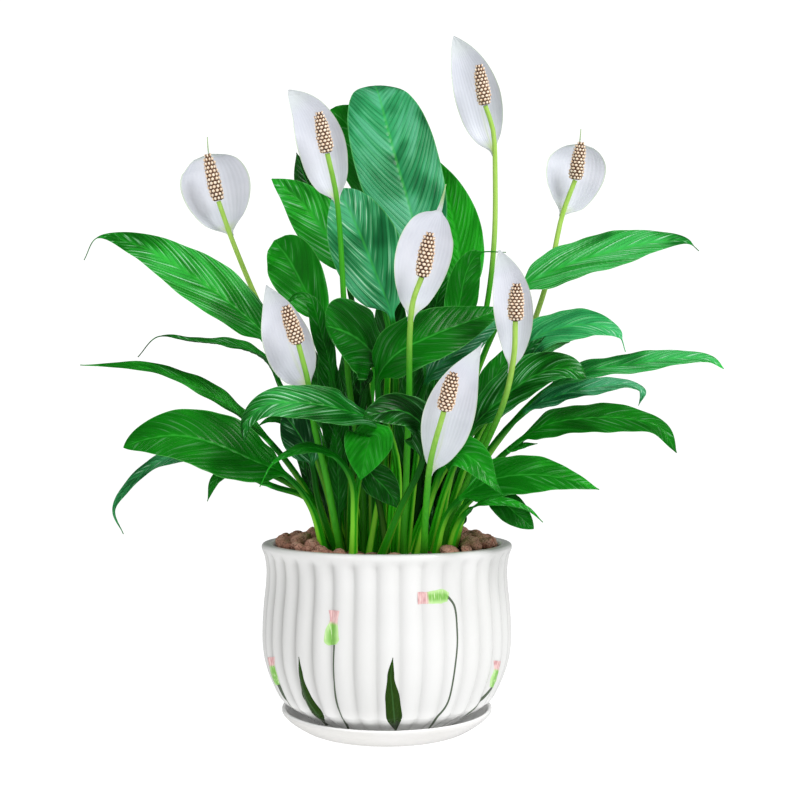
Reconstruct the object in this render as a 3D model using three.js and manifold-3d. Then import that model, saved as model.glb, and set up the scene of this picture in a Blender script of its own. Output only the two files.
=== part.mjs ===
// A peace lily in a fluted white pot on a saucer: a crown of glossy leaves and eight white blooms.
// Millimetres, +Z up. The origin is the middle of the saucer's underside, and the front is -Y.
import * as THREE from "three";
import { mergeVertices } from "three/addons/utils/BufferGeometryUtils.js";
import Module from "manifold-3d";

const wasm = await Module();
wasm.setup();

// Driving dimensions.
const SAUCER_RADIUS = 79.6;
const SAUCER_HEIGHT = 17;
const SAUCER_FLOOR = 4.7;
const SAUCER_FOOT_RADIUS = 56;
const POT_SEAT = 5;
const POT_FOOT_RADIUS = 50;
const POT_RIM_Z = 141;
const POT_RIM_RADIUS = 95;
const POT_WALL = 7;
const POT_FLOOR_Z = 13;
const FLUTES = 36;
const FLUTE_DEPTH = 2.2;
const FLUTE_TOP_Z = 131;
const DRAIN_RADIUS = 8;
const SOIL_EDGE_Z = 134;
const SOIL_MOUND = 7;
const PEBBLES = 19;
const CLEARANCE = 0.3;
const FOOT_Z = 130.5;
const BLADE_THICKNESS = 0.85;
const RIB_THICKNESS = 1.7;
const PETIOLE_RADIUS = 2.2;
const BLOOM_STEM_RADIUS = 2.2;
const SPADIX_RADIUS = 5.4;

const WHITE_GLAZE = { color: 0xf0efec, roughness: 0.15, metalness: 0 };
const CLAY_PEBBLE = { color: 0x7a4a3a, roughness: 0.9, metalness: 0 };
const LEAF_GREEN = { color: 0x1c7a2c, roughness: 0.35, metalness: 0 };
const STEM_GREEN = { color: 0x86b83c, roughness: 0.4, metalness: 0 };
const SPATHE_WHITE = { color: 0xefeff7, roughness: 0.5, metalness: 0 };
const SPADIX_CREAM = { color: 0xe2b98f, roughness: 0.7, metalness: 0 };

const root = new THREE.Group();

// Small, repeatable random numbers for the pebbles.
let seed = 20417;
function draw(low, high) {
  seed = (seed * 1664525 + 1013904223) % 4294967296;
  return low + ((high - low) * seed) / 4294967296;
}

function addPiece(name, geometry, look) {
  const mesh = new THREE.Mesh(geometry, new THREE.MeshStandardMaterial(look));
  mesh.name = name;
  root.add(mesh);
  return mesh;
}

function toSolid(geometry) {
  const bare = geometry.index ? geometry.toNonIndexed() : geometry.clone();
  bare.deleteAttribute("normal");
  bare.deleteAttribute("uv");
  const merged = mergeVertices(bare, 1e-4);
  const mesh = new wasm.Mesh({
    numProp: 3,
    vertProperties: new Float32Array(merged.attributes.position.array),
    triVerts: new Uint32Array(merged.index.array),
  });
  return new wasm.Manifold(mesh);
}

function toGeometry(solid) {
  const mesh = solid.getMesh();
  const geometry = new THREE.BufferGeometry();
  const points = new THREE.BufferAttribute(new Float32Array(mesh.vertProperties), 3);
  geometry.setAttribute("position", points);
  geometry.setIndex(new THREE.BufferAttribute(new Uint32Array(mesh.triVerts), 1));
  return geometry;
}

// Joins closed loops of points, all of one length, into one closed skin. Looking along the row of
// loops, the points of a loop run clockwise: the upper side from left to right, then the under side
// back. The ends close with a strip of quads from the upper side to the under side.
function skin(rings) {
  const count = rings[0].length;
  const half = count / 2;
  const points = rings.flat();
  const faces = [];
  const quad = (a, b, c, d) => faces.push(a, b, c, a, c, d);
  for (let i = 0; i + 1 < rings.length; i++) {
    for (let j = 0; j < count; j++) {
      const k = (j + 1) % count;
      const upper = j < half;
      const [a, b, c, d] = [i * count + j, i * count + k, (i + 1) * count + k, (i + 1) * count + j];
      if (upper) {
        quad(a, b, c, d);
      } else {
        quad(b, c, d, a);
      }
    }
  }
  const last = (rings.length - 1) * count;
  for (let j = 0; j + 1 < half; j++) {
    const [a, b, c, d] = [j, j + 1, count - 2 - j, count - 1 - j];
    quad(d, c, b, a);
    quad(last + a, last + b, last + c, last + d);
  }
  const geometry = new THREE.BufferGeometry();
  geometry.setAttribute("position", new THREE.Float32BufferAttribute(points.flatMap((p) => [p.x, p.y, p.z]), 3));
  geometry.setIndex(faces);
  return geometry;
}

// The plant is set out as it is seen from the front, from an eye 912 mm before the pot's axis, 10 mm
// to its right and 231 mm up. x and z are read in the upright plane through the axis, and depth says
// how far behind that plane the point really lies (in front when negative). A foot in the soil has
// no z of its own.
const EYE = { x: 10, z: 231, distance: 912 };
function seen(stop) {
  if (stop.isVector3) {
    return stop;
  }
  const [x, depth] = [stop[0], stop.at(-1)];
  const spread = 1 + depth / EYE.distance;
  if (stop.length === 2) {
    return new THREE.Vector3(EYE.x + (x - EYE.x) * spread, depth, FOOT_Z);
  }
  const z = stop[1];
  return new THREE.Vector3(EYE.x + (x - EYE.x) * spread, depth, EYE.z + (z - EYE.z) * spread);
}

const lerp = (a, b, t) => a + (b - a) * t;
const smooth = (t) => {
  const s = Math.min(Math.max(t, 0), 1);
  return s * s * (3 - 2 * s);
};

// A growing line through hand-set points: evenly spaced samples, and where point number `mark` falls.
function growingLine(stops, mark) {
  const curve = new THREE.CatmullRomCurve3(stops.map(seen), false, "centripetal");
  const fine = curve.getPoints(40 * (stops.length - 1));
  const lengths = [0];
  for (let i = 1; i < fine.length; i++) {
    lengths.push(lengths[i - 1] + fine[i].distanceTo(fine[i - 1]));
  }
  const total = lengths[lengths.length - 1];
  const at = (s) => {
    const target = s * total;
    let i = 1;
    while (i < fine.length - 1 && lengths[i] < target) {
      i += 1;
    }
    const part = (target - lengths[i - 1]) / (lengths[i] - lengths[i - 1]);
    return fine[i - 1].clone().lerp(fine[i], part);
  };
  const along = (s) => at(Math.min(s + 0.01, 1)).sub(at(Math.max(s - 0.01, 0))).normalize();
  return { at, along, total, neck: lengths[40 * mark] / total };
}

// Half the blade's width at t, from 0 at its base to 1 at its tip. `sharp` over 0.7 draws the base in,
// `blunt` under 1 rounds the end off, and `tail` is the share of the length that is only a thread-like
// point, up to twice `thread` wide.
function halfWidth(t, leaf) {
  const low = leaf.sharp ?? 0.7;
  const high = leaf.blunt ?? 1.1;
  const body = Math.min(t / (1 - (leaf.tail ?? 0)), 1);
  const widest = low / (low + high);
  const swell = (body / widest) ** low * Math.max((1 - body) / (1 - widest), 0) ** high;
  const thread = (leaf.thread ?? 0) * Math.min((1 - t) / (leaf.tail ?? 1), 1);
  return Math.max((leaf.width / 2) * swell, lerp(1.9, 0.45, t), thread);
}

// Loops of a stalked blade. The stalk is nearly round and widens to a sheath at its foot. The blade
// folds up along its rib by `fold` degrees, rolls down by `droop`, and its edges wave.
function bladeRings(leaf) {
  const line = growingLine(leaf.path, leaf.neck);
  const across = leaf.slim ? [-1, 0, 1] : [-1, -0.5, 0, 0.5, 1];
  const stalk = leaf.neck > 0 ? 2 : 0;
  const blade = leaf.steps ?? (leaf.slim ? 6 : 8);
  const stations = [];
  for (let i = 0; i < stalk; i++) {
    stations.push((line.neck * i) / stalk);
  }
  for (let i = 0; i <= blade; i++) {
    stations.push(lerp(line.neck, 1, i / blade));
  }
  const frames = stations.map((s) => {
    const t = Math.max((s - line.neck) / (1 - line.neck), 0);
    const face = new THREE.Vector3(...leaf.face).lerp(new THREE.Vector3(...(leaf.faceTip ?? leaf.face)), t);
    return { s, t, at: line.at(s), along: line.along(s), normal: face };
  });
  for (let i = frames.length - 1; i >= 0; i--) {
    const frame = frames[i];
    const wanted = i < stalk ? frames[i + 1].normal : frame.normal;
    frame.normal = wanted.clone().addScaledVector(frame.along, -wanted.dot(frame.along)).normalize();
    frame.side = frame.along.clone().cross(frame.normal);
  }
  const fold = THREE.MathUtils.degToRad(leaf.fold ?? 14);
  return frames.map((frame, i) => {
    const { t, at, normal, side } = frame;
    const grown = i < stalk ? 0 : smooth(t / 0.14);
    const below = stalk ? 1 - Math.min(frame.s / line.neck, 1) : 0;
    const round = PETIOLE_RADIUS * (1 + 0.6 * below ** 2);
    const half = lerp(round, halfWidth(t, leaf), grown);
    const place = (u, sign) => {
      const wave = (leaf.wave ?? 1.6) * u * u * Math.sin(t * 17 + (u > 0 ? 1.3 : 4)) * (1 - t);
      const lift = grown * (half * (Math.abs(u) * Math.sin(fold) - u * u * (leaf.droop ?? 0.12)) + wave);
      const roundHalf = round * (1 - 0.65 * u * u);
      const rib = lerp(RIB_THICKNESS, 0.9, t) / 2;
      const flatHalf = lerp(rib, BLADE_THICKNESS / 2, smooth(Math.abs(u) * 2.2));
      const thick = lerp(roundHalf, flatHalf, grown) * sign;
      const reach = half * u * lerp(1, Math.cos(fold), grown);
      return at.clone().addScaledVector(side, reach).addScaledVector(normal, lift + thick);
    };
    return [...across.map((u) => place(u, 1)), ...across.toReversed().map((u) => place(u, -1))];
  });
}

function growLeaf(leaf) {
  return skin(bladeRings(leaf));
}

function addLeaf(name, leaf) {
  addPiece(name, growLeaf(leaf), LEAF_GREEN);
}

// Small leaves that share one sheath at the soil are one piece.
function addTuft(name, leaves) {
  const joined = leaves.map((leaf) => toSolid(growLeaf(leaf))).reduce((a, b) => a.add(b));
  addPiece(name, toGeometry(joined), LEAF_GREEN);
}

// ---------------------------------------------------------------- saucer and pot
function lathe(outline, segments) {
  const profile = outline.map(([radius, z]) => new THREE.Vector2(radius, z));
  const geometry = new THREE.LatheGeometry(profile, segments);
  geometry.rotateX(Math.PI / 2);
  return geometry;
}

const saucerOutline = [
  [0, 0],
  [SAUCER_FOOT_RADIUS, 0],
  [SAUCER_FOOT_RADIUS + 8, 2.4],
  [SAUCER_RADIUS - 6, 8.5],
  [SAUCER_RADIUS - 0.4, 14.6],
  [SAUCER_RADIUS, SAUCER_HEIGHT - 1],
  [SAUCER_RADIUS - 1.2, SAUCER_HEIGHT],
  [SAUCER_RADIUS - 3.2, SAUCER_HEIGHT - 0.6],
  [SAUCER_RADIUS - 5.6, 12.2],
  [SAUCER_RADIUS - 10.6, 7.4],
  [SAUCER_FOOT_RADIUS + 9, SAUCER_FLOOR],
  [0, SAUCER_FLOOR],
];
addPiece("saucer", lathe(saucerOutline, 26), WHITE_GLAZE);

// Outer wall of the pot from the foot to the lip. The body carries the flutes.
const potOutline = [
  [POT_FOOT_RADIUS, POT_SEAT],
  [80, 24.4],
  [88.4, 41],
  [94.4, 65],
  [93.6, 92],
  [91.4, 120],
  [92.8, FLUTE_TOP_Z],
  [POT_RIM_RADIUS, 138],
  [POT_RIM_RADIUS - 2.4, POT_RIM_Z],
];

function fluteDepth(z) {
  return FLUTE_DEPTH * smooth((z - POT_SEAT) / 9) * smooth((FLUTE_TOP_Z + 1 - z) / 8);
}

// Three points a flute: the sharp valley and the two shoulders of the round rib beside it.
function flutedWall() {
  const around = 3 * FLUTES;
  const rows = potOutline.map(([radius, z]) => {
    const row = [];
    for (let j = 0; j < around; j++) {
      const flute = Math.floor(j / 3);
      const part = [0, 0.3, 0.7][j % 3];
      const angle = ((flute + part) / FLUTES) * 2 * Math.PI - THREE.MathUtils.degToRad(93.7);
      const reach = radius - (j % 3 === 0 ? fluteDepth(z) : 0);
      row.push([reach * Math.cos(angle), reach * Math.sin(angle), z]);
    }
    return row;
  });
  const points = rows.flat();
  const faces = [];
  for (let i = 0; i + 1 < rows.length; i++) {
    for (let j = 0; j < around; j++) {
      const k = (j + 1) % around;
      const [a, b, c, d] = [i * around + j, i * around + k, (i + 1) * around + k, (i + 1) * around + j];
      faces.push(a, b, c, a, c, d);
    }
  }
  const bottom = points.push([0, 0, potOutline[0][1]]) - 1;
  const top = points.push([0, 0, POT_RIM_Z]) - 1;
  const last = (rows.length - 1) * around;
  for (let j = 0; j < around; j++) {
    const k = (j + 1) % around;
    faces.push(bottom, k, j, top, last + j, last + k);
  }
  const geometry = new THREE.BufferGeometry();
  geometry.setAttribute("position", new THREE.Float32BufferAttribute(points.flat(), 3));
  geometry.setIndex(faces);
  return geometry;
}

const innerWall = [
  [55, POT_FLOOR_Z],
  [75, 27],
  [86, 64],
  [84.6, 118],
  [POT_RIM_RADIUS - POT_WALL - 2.4, 139.4],
];
const hollow = lathe([[0, POT_FLOOR_Z], ...innerWall, [88.6, POT_RIM_Z + 0.6], [0, POT_RIM_Z + 0.6]], 30);
const footEdge = POT_FOOT_RADIUS - 7;
const footHollow = lathe([[0, POT_SEAT - 1], [footEdge, POT_SEAT - 1], [footEdge - 2, POT_SEAT + 2], [0, POT_SEAT + 2]], 18);
const drain = lathe([[0, POT_SEAT], [DRAIN_RADIUS, POT_SEAT], [DRAIN_RADIUS, POT_FLOOR_Z + 1], [0, POT_FLOOR_Z + 1]], 12);
const pot = toSolid(flutedWall()).subtract(toSolid(hollow)).subtract(toSolid(footHollow)).subtract(toSolid(drain));
addPiece("pot", toGeometry(pot), WHITE_GLAZE);

// ---------------------------------------------------------------- leaves
// Each path runs from the foot in the soil to the tip, and `neck` is the point where the blade begins.
// `face` is the way the upper side looks at the base, and `faceTip` at the tip.
const UP_FRONT = [0, -0.75, 0.66];
const UP = [0, -0.35, 0.94];

const leaves = {
  // The tall leaves at the top and back.
  leaf_top: {
    path: [[8, 8], [16, 230, 14], [26, 335, 26], [20, 385, 34], [9, 425, 42], [-1, 462, 52], [-6, 481, 64], [-9, 489, 80]],
    neck: 2, width: 70, blunt: 0.52, face: [0.1, -1, 0.15], faceTip: [0.05, -0.8, 0.6], fold: 10, droop: 0.1,
  },
  leaf_top_right: {
    path: [[16, 18], [38, 240, 36], [57, 325, 52], [54.5, 368, 62], [46, 406, 72], [34, 437, 84]],
    neck: 2, width: 44, face: [-0.25, -1, 0.1], fold: 12, steps: 7,
  },
  leaf_upper_left: {
    path: [[-4, -6], [0, 250, -8], [-2, 320, 0], [-22, 346, 4], [-46, 377, 4], [-68, 403, 0], [-88, 418, -6]],
    neck: 3, width: 40, blunt: 0.9, face: [-0.35, -0.9, 0.3], fold: 16,
  },
  leaf_upper_mid: {
    path: [[1, -18], [7, 250, -24], [4, 312, -22], [-8, 345, -26], [-20, 375, -28], [-31, 399, -24], [-39, 410, -18]],
    neck: 2, width: 54, blunt: 0.75, face: [-0.2, -1, 0.3], fold: 12,
  },
  leaf_right_upright: {
    path: [[22, 2], [38, 230, 8], [48, 290, 8], [55, 322, 4], [61, 348, 0], [70, 361, -2], [91, 362, -4]],
    neck: 2, width: 28, blunt: 0.6, tail: 0.2, face: [0.2, -1, 0.1], fold: 24,
  },
  leaf_left_round: {
    path: [[-17, -12], [-38, 240, -20], [-49, 308, -22], [-63, 335, -26], [-75, 357, -30], [-86, 371, -40]],
    neck: 2, width: 41, blunt: 0.42, face: [-0.2, -0.9, 0.3], fold: 18,
  },
  // The long side leaves.
  leaf_left_high: {
    path: [[-26, -4], [-52, 220, -8], [-86, 290, -14], [-116, 320, -20], [-152, 346, -22], [-190, 367, -20], [-221, 373, -16], [-231, 356, -12]],
    neck: 2, width: 46, tail: 0.1, face: [0.2, -0.85, 0.55], fold: 16,
  },
  leaf_left_thin_high: {
    path: [[-31, -16], [-54, 205, -20], [-80, 258, -36], [-94, 281, -44], [-118, 290.5, -50], [-150, 294.5, -54], [-175, 297.5, -56], [-190, 282, -58]],
    neck: 2, width: 22, tail: 0.16, face: UP, fold: 20, slim: true, steps: 8,
  },
  leaf_left_mid: {
    path: [[-39, -12], [-60, 178, -18], [-88, 216, -26], [-120, 244, -34], [-150, 262, -40], [-182, 273, -44], [-234, 276, -48]],
    neck: 2, width: 22, face: [0.1, -0.5, 0.87], fold: 20, slim: true, steps: 8,
  },
  leaf_left_broad: {
    path: [[-46, -38], [-58, 168, -48], [-76, 191, -58], [-102, 203, -66], [-132, 216, -74], [-160, 222, -80], [-184, 219, -84], [-201, 213, -88]],
    neck: 2, width: 52, blunt: 0.75, face: [-0.1, -0.78, 0.62], fold: 12,
  },
  leaf_front_arch: {
    path: [[-14, -42], [-4, 190, -44], [-4, 226, -60], [-35, 242, -92], [-66, 247, -104], [-92, 245, -110], [-106, 233, -112], [-109, 216, -112]],
    neck: 2, width: 30, blunt: 0.9, face: UP_FRONT, faceTip: [-0.5, -0.8, 0.2], fold: 14,
  },
  leaf_front_dark: {
    path: [[-7, -60], [10, 166, -74], [27, 203, -90], [26, 230, -102], [10, 241, -114], [-6, 239, -122], [-18, 236, -128]],
    neck: 2, width: 34, blunt: 0.8, face: [0, -0.8, 0.6], fold: 10, steps: 7,
  },
  leaf_heart: {
    path: [[-10, -28], [-11, 210, -40], [-6, 274, -52], [-16, 290, -66], [-30, 300, -80], [-47, 306, -94]],
    neck: 2, width: 64, blunt: 0.6, face: [0.2, -0.85, 0.5], fold: 8, steps: 7,
  },
  leaf_mid_right: {
    path: [[6, -36], [8, 200, -46], [-7, 262, -70], [6, 283, -78], [34, 298, -76], [62, 309, -66], [92, 320, -54]],
    neck: 2, width: 44, face: [-0.1, -0.9, 0.45], fold: 14, steps: 7,
  },
  leaf_right_high: {
    path: [[31, 8], [58, 240, 0], [98, 329, -8], [128, 347.5, -14], [168, 361, -18], [206, 369.5, -20], [229, 370, -22], [238, 363, -24]],
    neck: 2, width: 52, blunt: 0.9, face: [0, -0.62, 0.78], fold: 14, tail: 0.04,
  },
  leaf_right_second: {
    path: [[37, -6], [66, 215, -14], [101, 277, -24], [114, 296, -32], [138, 305, -38], [160, 306, -42], [177, 299, -44], [182, 286, -44]],
    neck: 2, width: 40, blunt: 0.8, face: [0, -0.66, 0.75], fold: 12, tail: 0.1, steps: 7,
  },
  leaf_right_curled: {
    path: [[30, -32], [46, 185, -40], [66, 228, -52], [88, 250, -60], [114, 268, -68], [136, 273, -72], [152, 266, -72]],
    neck: 2, width: 38, blunt: 0.7, face: [0, -0.75, 0.65], fold: 22,
  },
  leaf_right_long: {
    path: [[44, -12], [70, 196, -14], [118, 254, -16], [150, 270, -20], [186, 276, -24], [224, 281, -28], [247, 280, -30], [257, 273, -32]],
    neck: 2, width: 27, blunt: 0.8, face: [0, -0.6, 0.8], fold: 14,
  },
  leaf_right_low: {
    path: [[37, -20], [74, 205, -32], [105, 240, -36], [130, 252, -40], [160, 259, -44], [184, 261, -46], [195, 256, -48], [192, 245, -48]],
    neck: 2, width: 22, face: [0, -0.6, 0.8], fold: 14, slim: true, steps: 8,
  },
  leaf_right_lowest: {
    path: [[36, -50], [44, 158, -58], [56, 174, -66], [84, 189, -78], [114, 192, -84], [140, 188, -88], [162, 181, -90]],
    neck: 2, width: 39, face: [0, -0.7, 0.7], fold: 10, steps: 7,
  },
  leaf_front_fold: {
    path: [[20, -44], [34, 175, -62], [44, 200, -86], [56, 208, -98], [67, 203, -104], [79, 188, -108], [92, 172, -110]],
    neck: 2, width: 30, blunt: 1.9, face: [-0.1, -0.8, 0.6], fold: 20, steps: 7,
  },
};

const tufts = {
  leaf_right_dark: [
    { path: [[48, -28], [66, 182, -44], [100, 217, -58], [122, 230, -68], [150, 235, -74], [182, 235, -78], [208, 228, -80], [221, 209, -82]],
      neck: 2, width: 34, blunt: 0.9, face: [0, -0.62, 0.78], fold: 8 },
    { path: [[92, 210, -55.5], [98, 212.5, -57], [106, 215, -59], [115, 216, -60]],
      neck: 0, width: 6, face: UP_FRONT, fold: 10, slim: true, steps: 3 },
  ],
  // Leaves half hidden behind the tall ones.
  tuft_back_left: [
    { path: [[0, 22], [2, 250, 44], [4, 380, 66], [-10, 425, 72], [-27, 456, 74], [-43, 471, 72]],
      neck: 2, width: 50, blunt: 0.6, face: [-0.3, -1, 0.1], fold: 12 },
    { path: [[0, 22], [-14, 250, 34], [-38, 372, 36], [-52, 400, 36], [-63, 420, 34], [-69, 438, 32]],
      neck: 2, width: 30, face: [0, -1, 0.1], fold: 14, slim: true },
  ],
  tuft_left_low: [
    { path: [[-43, -22], [-58, 172, -28], [-96, 196, -34], [-138, 208, -40], [-174, 202, -46], [-198, 182, -50], [-208, 165, -52], [-201, 147, -54]],
      neck: 2, width: 17, face: [0, -0.5, 0.87], faceTip: [-0.8, -0.6, 0], fold: 16, slim: true, steps: 9 },
    { path: [[-43, -22], [-58, 172, -32], [-88, 184, -44], [-114, 196, -48], [-130, 189, -50], [-137, 172, -50]],
      neck: 2, width: 14, face: [0, -0.7, 0.7], fold: 14, slim: true },
  ],
  tuft_left_inner: [
    { path: [[-36, -30], [-52, 172, -38], [-57, 200, -46], [-63, 216, -54], [-71, 229, -58], [-79, 239, -60]],
      neck: 2, width: 28, blunt: 0.7, face: [-0.1, -1, 0.2], fold: 12, slim: true },
    { path: [[-36, -30], [-45, 180, -36], [-60, 222, -42], [-78, 233, -46], [-90, 234, -48], [-99, 229, -50]],
      neck: 2, width: 9, face: UP_FRONT, fold: 14, slim: true },
    { path: [[-36, -30], [-37, 160, -33], [-37, 180, -35], [-38, 206, -36], [-40, 232, -38]],
      neck: 1, width: 17, face: [0.1, -1, 0], fold: 18, slim: true },
  ],
  tuft_left_arch: [
    { path: [[-28, -24], [-31, 200, -24], [-41, 264, -38], [-50, 300, -50], [-58, 324, -58], [-68, 329, -60], [-78, 321, -62]],
      neck: 2, width: 15, face: [0, -0.9, 0.5], fold: 14, slim: true },
    { path: [[-28, -24], [-26, 200, -44], [-16, 260, -50], [-18, 269, -57], [-20, 262, -62], [-20, 252, -62]],
      neck: 2, width: 14, face: [0, -1, 0.2], fold: 14, slim: true },
    { path: [[-28, -24], [-32, 180, -25], [-38, 220, -29], [-44, 262, -35], [-48, 302, -41]],
      neck: 1, width: 21, blunt: 0.8, face: [0.1, -1, 0], fold: 18, slim: true, steps: 5 },
  ],
  tuft_front_left: [
    { path: [[-26, -56], [-25, 160, -62], [-27, 188, -70], [-38, 205, -78], [-58, 213, -88], [-76, 208, -96], [-88, 200, -100], [-97, 183, -102]],
      neck: 3, width: 10, tail: 0.2, face: UP_FRONT, fold: 10, slim: true, steps: 8 },
    { path: [[-26, -56], [-23, 180, -63], [-14, 215, -66], [-13, 220, -77], [-17, 205, -86], [-20, 188, -90]],
      neck: 2, width: 36, face: [0, -0.95, 0.3], fold: 20 },
  ],
  tuft_centre_dark: [
    { path: [[0, -46], [-6, 170, -50], [-16, 200, -53], [-12, 193, -57], [-1, 182, -60], [10, 166, -60]],
      neck: 2, width: 24, face: [-0.2, -1, 0.2], fold: 12, slim: true },
  ],
  tuft_mid_right: [
    { path: [[14, -18], [22, 200, -28], [30, 262, -38], [50, 283, -42], [70, 299, -40], [90, 313, -36]],
      neck: 2, width: 26, face: [-0.2, -0.9, 0.4], fold: 14, slim: true },
    { path: [[14, -18], [46, 200, -18], [86, 248, -26], [97, 268, -36], [107, 286, -44], [121, 298, -48]],
      neck: 2, width: 20, face: [-0.3, -0.8, 0.5], fold: 14, slim: true },
    { path: [[14, -18], [16, 190, -24], [19, 240, -28], [22, 294, -30]],
      neck: 1, width: 26, face: [0.1, -1, 0], fold: 18, slim: true },
  ],
  tuft_right_front: [
    { path: [[46, -42], [56, 164, -52], [76, 180, -62], [88, 172, -70], [99, 162, -74], [112, 151, -78]],
      neck: 2, width: 21, blunt: 0.8, face: [-0.1, -1, 0.3], fold: 10, slim: true },
    { path: [[46, -42], [53, 152, -64], [62, 165, -88], [74, 171, -110], [92, 171.5, -120], [108, 166, -122], [119, 156, -122]],
      neck: 2, width: 8, face: UP_FRONT, fold: 10, slim: true, steps: 7 },
  ],
  // The back of the plant, hidden from the front.
  tuft_back_middle: [
    { path: [[8, 36], [10, 260, 60], [12, 352, 84], [12, 386, 106], [8, 398, 134], [4, 386, 162]],
      neck: 2, width: 54, face: [0, 0.5, 0.87], faceTip: [0, 0.9, 0.4], fold: 12, steps: 6 },
    { path: [[8, 36], [6, 180, 56], [2, 228, 94], [-4, 242, 126], [-8, 234, 156], [-12, 210, 176]],
      neck: 2, width: 46, face: [0, 0.4, 0.9], faceTip: [0, 0.95, 0.2], fold: 12, steps: 6 },
  ],
  tuft_back_left_side: [
    { path: [[-16, 24], [-12, 250, 52], [-6, 334, 76], [-20, 366, 98], [-34, 380, 124], [-44, 374, 152]],
      neck: 2, width: 42, face: [-0.2, 0.5, 0.87], faceTip: [-0.3, 0.9, 0.4], fold: 12, steps: 6 },
    { path: [[-16, 24], [-44, 200, 46], [-66, 266, 76], [-86, 296, 100], [-110, 314, 122], [-132, 322, 140]],
      neck: 2, width: 46, face: [-0.3, 0.3, 0.9], fold: 12, steps: 6 },
  ],
  tuft_back_right_side: [
    { path: [[28, 26], [40, 230, 56], [48, 298, 84], [50, 322, 108], [50, 330, 136], [48, 316, 164]],
      neck: 2, width: 42, face: [0.2, 0.5, 0.87], faceTip: [0.2, 0.9, 0.4], fold: 12, steps: 6 },
    { path: [[28, 26], [62, 205, 44], [94, 262, 68], [116, 287, 92], [132, 298, 118], [146, 299, 142]],
      neck: 2, width: 46, face: [0.3, 0.3, 0.9], fold: 12, steps: 6 },
  ],
};

for (const [name, leaf] of Object.entries(leaves)) {
  addLeaf(name, leaf);
}
for (const [name, group] of Object.entries(tufts)) {
  addTuft(name, group);
}

// ---------------------------------------------------------------- blooms
// A round stem with its loops along a growing line.
function stemRings(stops, radius, steps, tip) {
  const line = growingLine(stops, 0);
  const rings = [];
  let normal = new THREE.Vector3(0, -1, 0);
  for (let i = 0; i <= steps; i++) {
    const s = i / steps;
    const along = line.along(s);
    normal = normal.clone().addScaledVector(along, -normal.dot(along)).normalize();
    const side = along.clone().cross(normal);
    const size = radius * lerp(1.25, tip, s);
    const ring = [];
    for (let j = 0; j < 6; j++) {
      const turn = Math.PI - (j * Math.PI) / 3 - Math.PI / 6;
      ring.push(line.at(s).addScaledVector(side, size * Math.cos(turn)).addScaledVector(normal, size * Math.sin(turn)));
    }
    rings.push(ring);
  }
  return rings;
}

// Where a spathe springs from its stem: a hair behind it, abreast of the place that `stop` names.
function spatheFoot(rings, stop) {
  const wanted = seen(stop);
  const spots = [];
  for (let i = 0; i + 1 < rings.length; i++) {
    for (let part = 0; part < 1; part += 0.05) {
      const ring = rings[i].map((point, j) => point.clone().lerp(rings[i + 1][j], part));
      const centre = ring.reduce((a, b) => a.clone().add(b), new THREE.Vector3()).divideScalar(ring.length);
      spots.push({ centre, along: rings[i + 1][0].clone().sub(rings[i][0]).normalize(), off: Math.abs(centre.z - wanted.z) });
    }
  }
  const { centre, along } = spots.reduce((a, b) => (b.off < a.off ? b : a));
  const back = new THREE.Vector3(0, 1, 0).addScaledVector(along, -along.y).normalize();
  return centre.addScaledVector(back, BLOOM_STEM_RADIUS * 1.05 + PETIOLE_RADIUS + CLEARANCE);
}

// The flower spike: rows of florets that stand out by turns, round a slim core. It sits on the stem's end.
function spadix(stemEnd, top) {
  const end = stemEnd.reduce((a, b) => a.clone().add(b), new THREE.Vector3()).divideScalar(stemEnd.length);
  const axis = seen(top).sub(end).normalize();
  const line = growingLine([end.addScaledVector(axis, 0.5), seen(top)], 0);
  const along = line.along(0.5);
  const normal = new THREE.Vector3(0, -1, 0).addScaledVector(along, along.y).normalize();
  const side = along.clone().cross(normal);
  const around = 8;
  const rows = 7;
  const rings = [];
  for (let i = 0; i <= rows; i++) {
    const s = i / rows;
    const body = SPADIX_RADIUS * Math.min(0.62 + 2.4 * s, 1) * Math.sqrt(Math.max(1 - (1.02 * s) ** 5, 0.06));
    const ring = [];
    for (let j = 0; j < around; j++) {
      const turn = Math.PI - (j * 2 * Math.PI) / around;
      const bud = i > 0 && i < rows && (i + j) % 2 === 0 ? 0.9 : 0;
      ring.push(
        line.at(s).addScaledVector(side, (body + bud) * Math.cos(turn)).addScaledVector(normal, (body + bud) * Math.sin(turn)),
      );
    }
    rings.push(ring);
  }
  return skin(rings);
}

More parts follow.
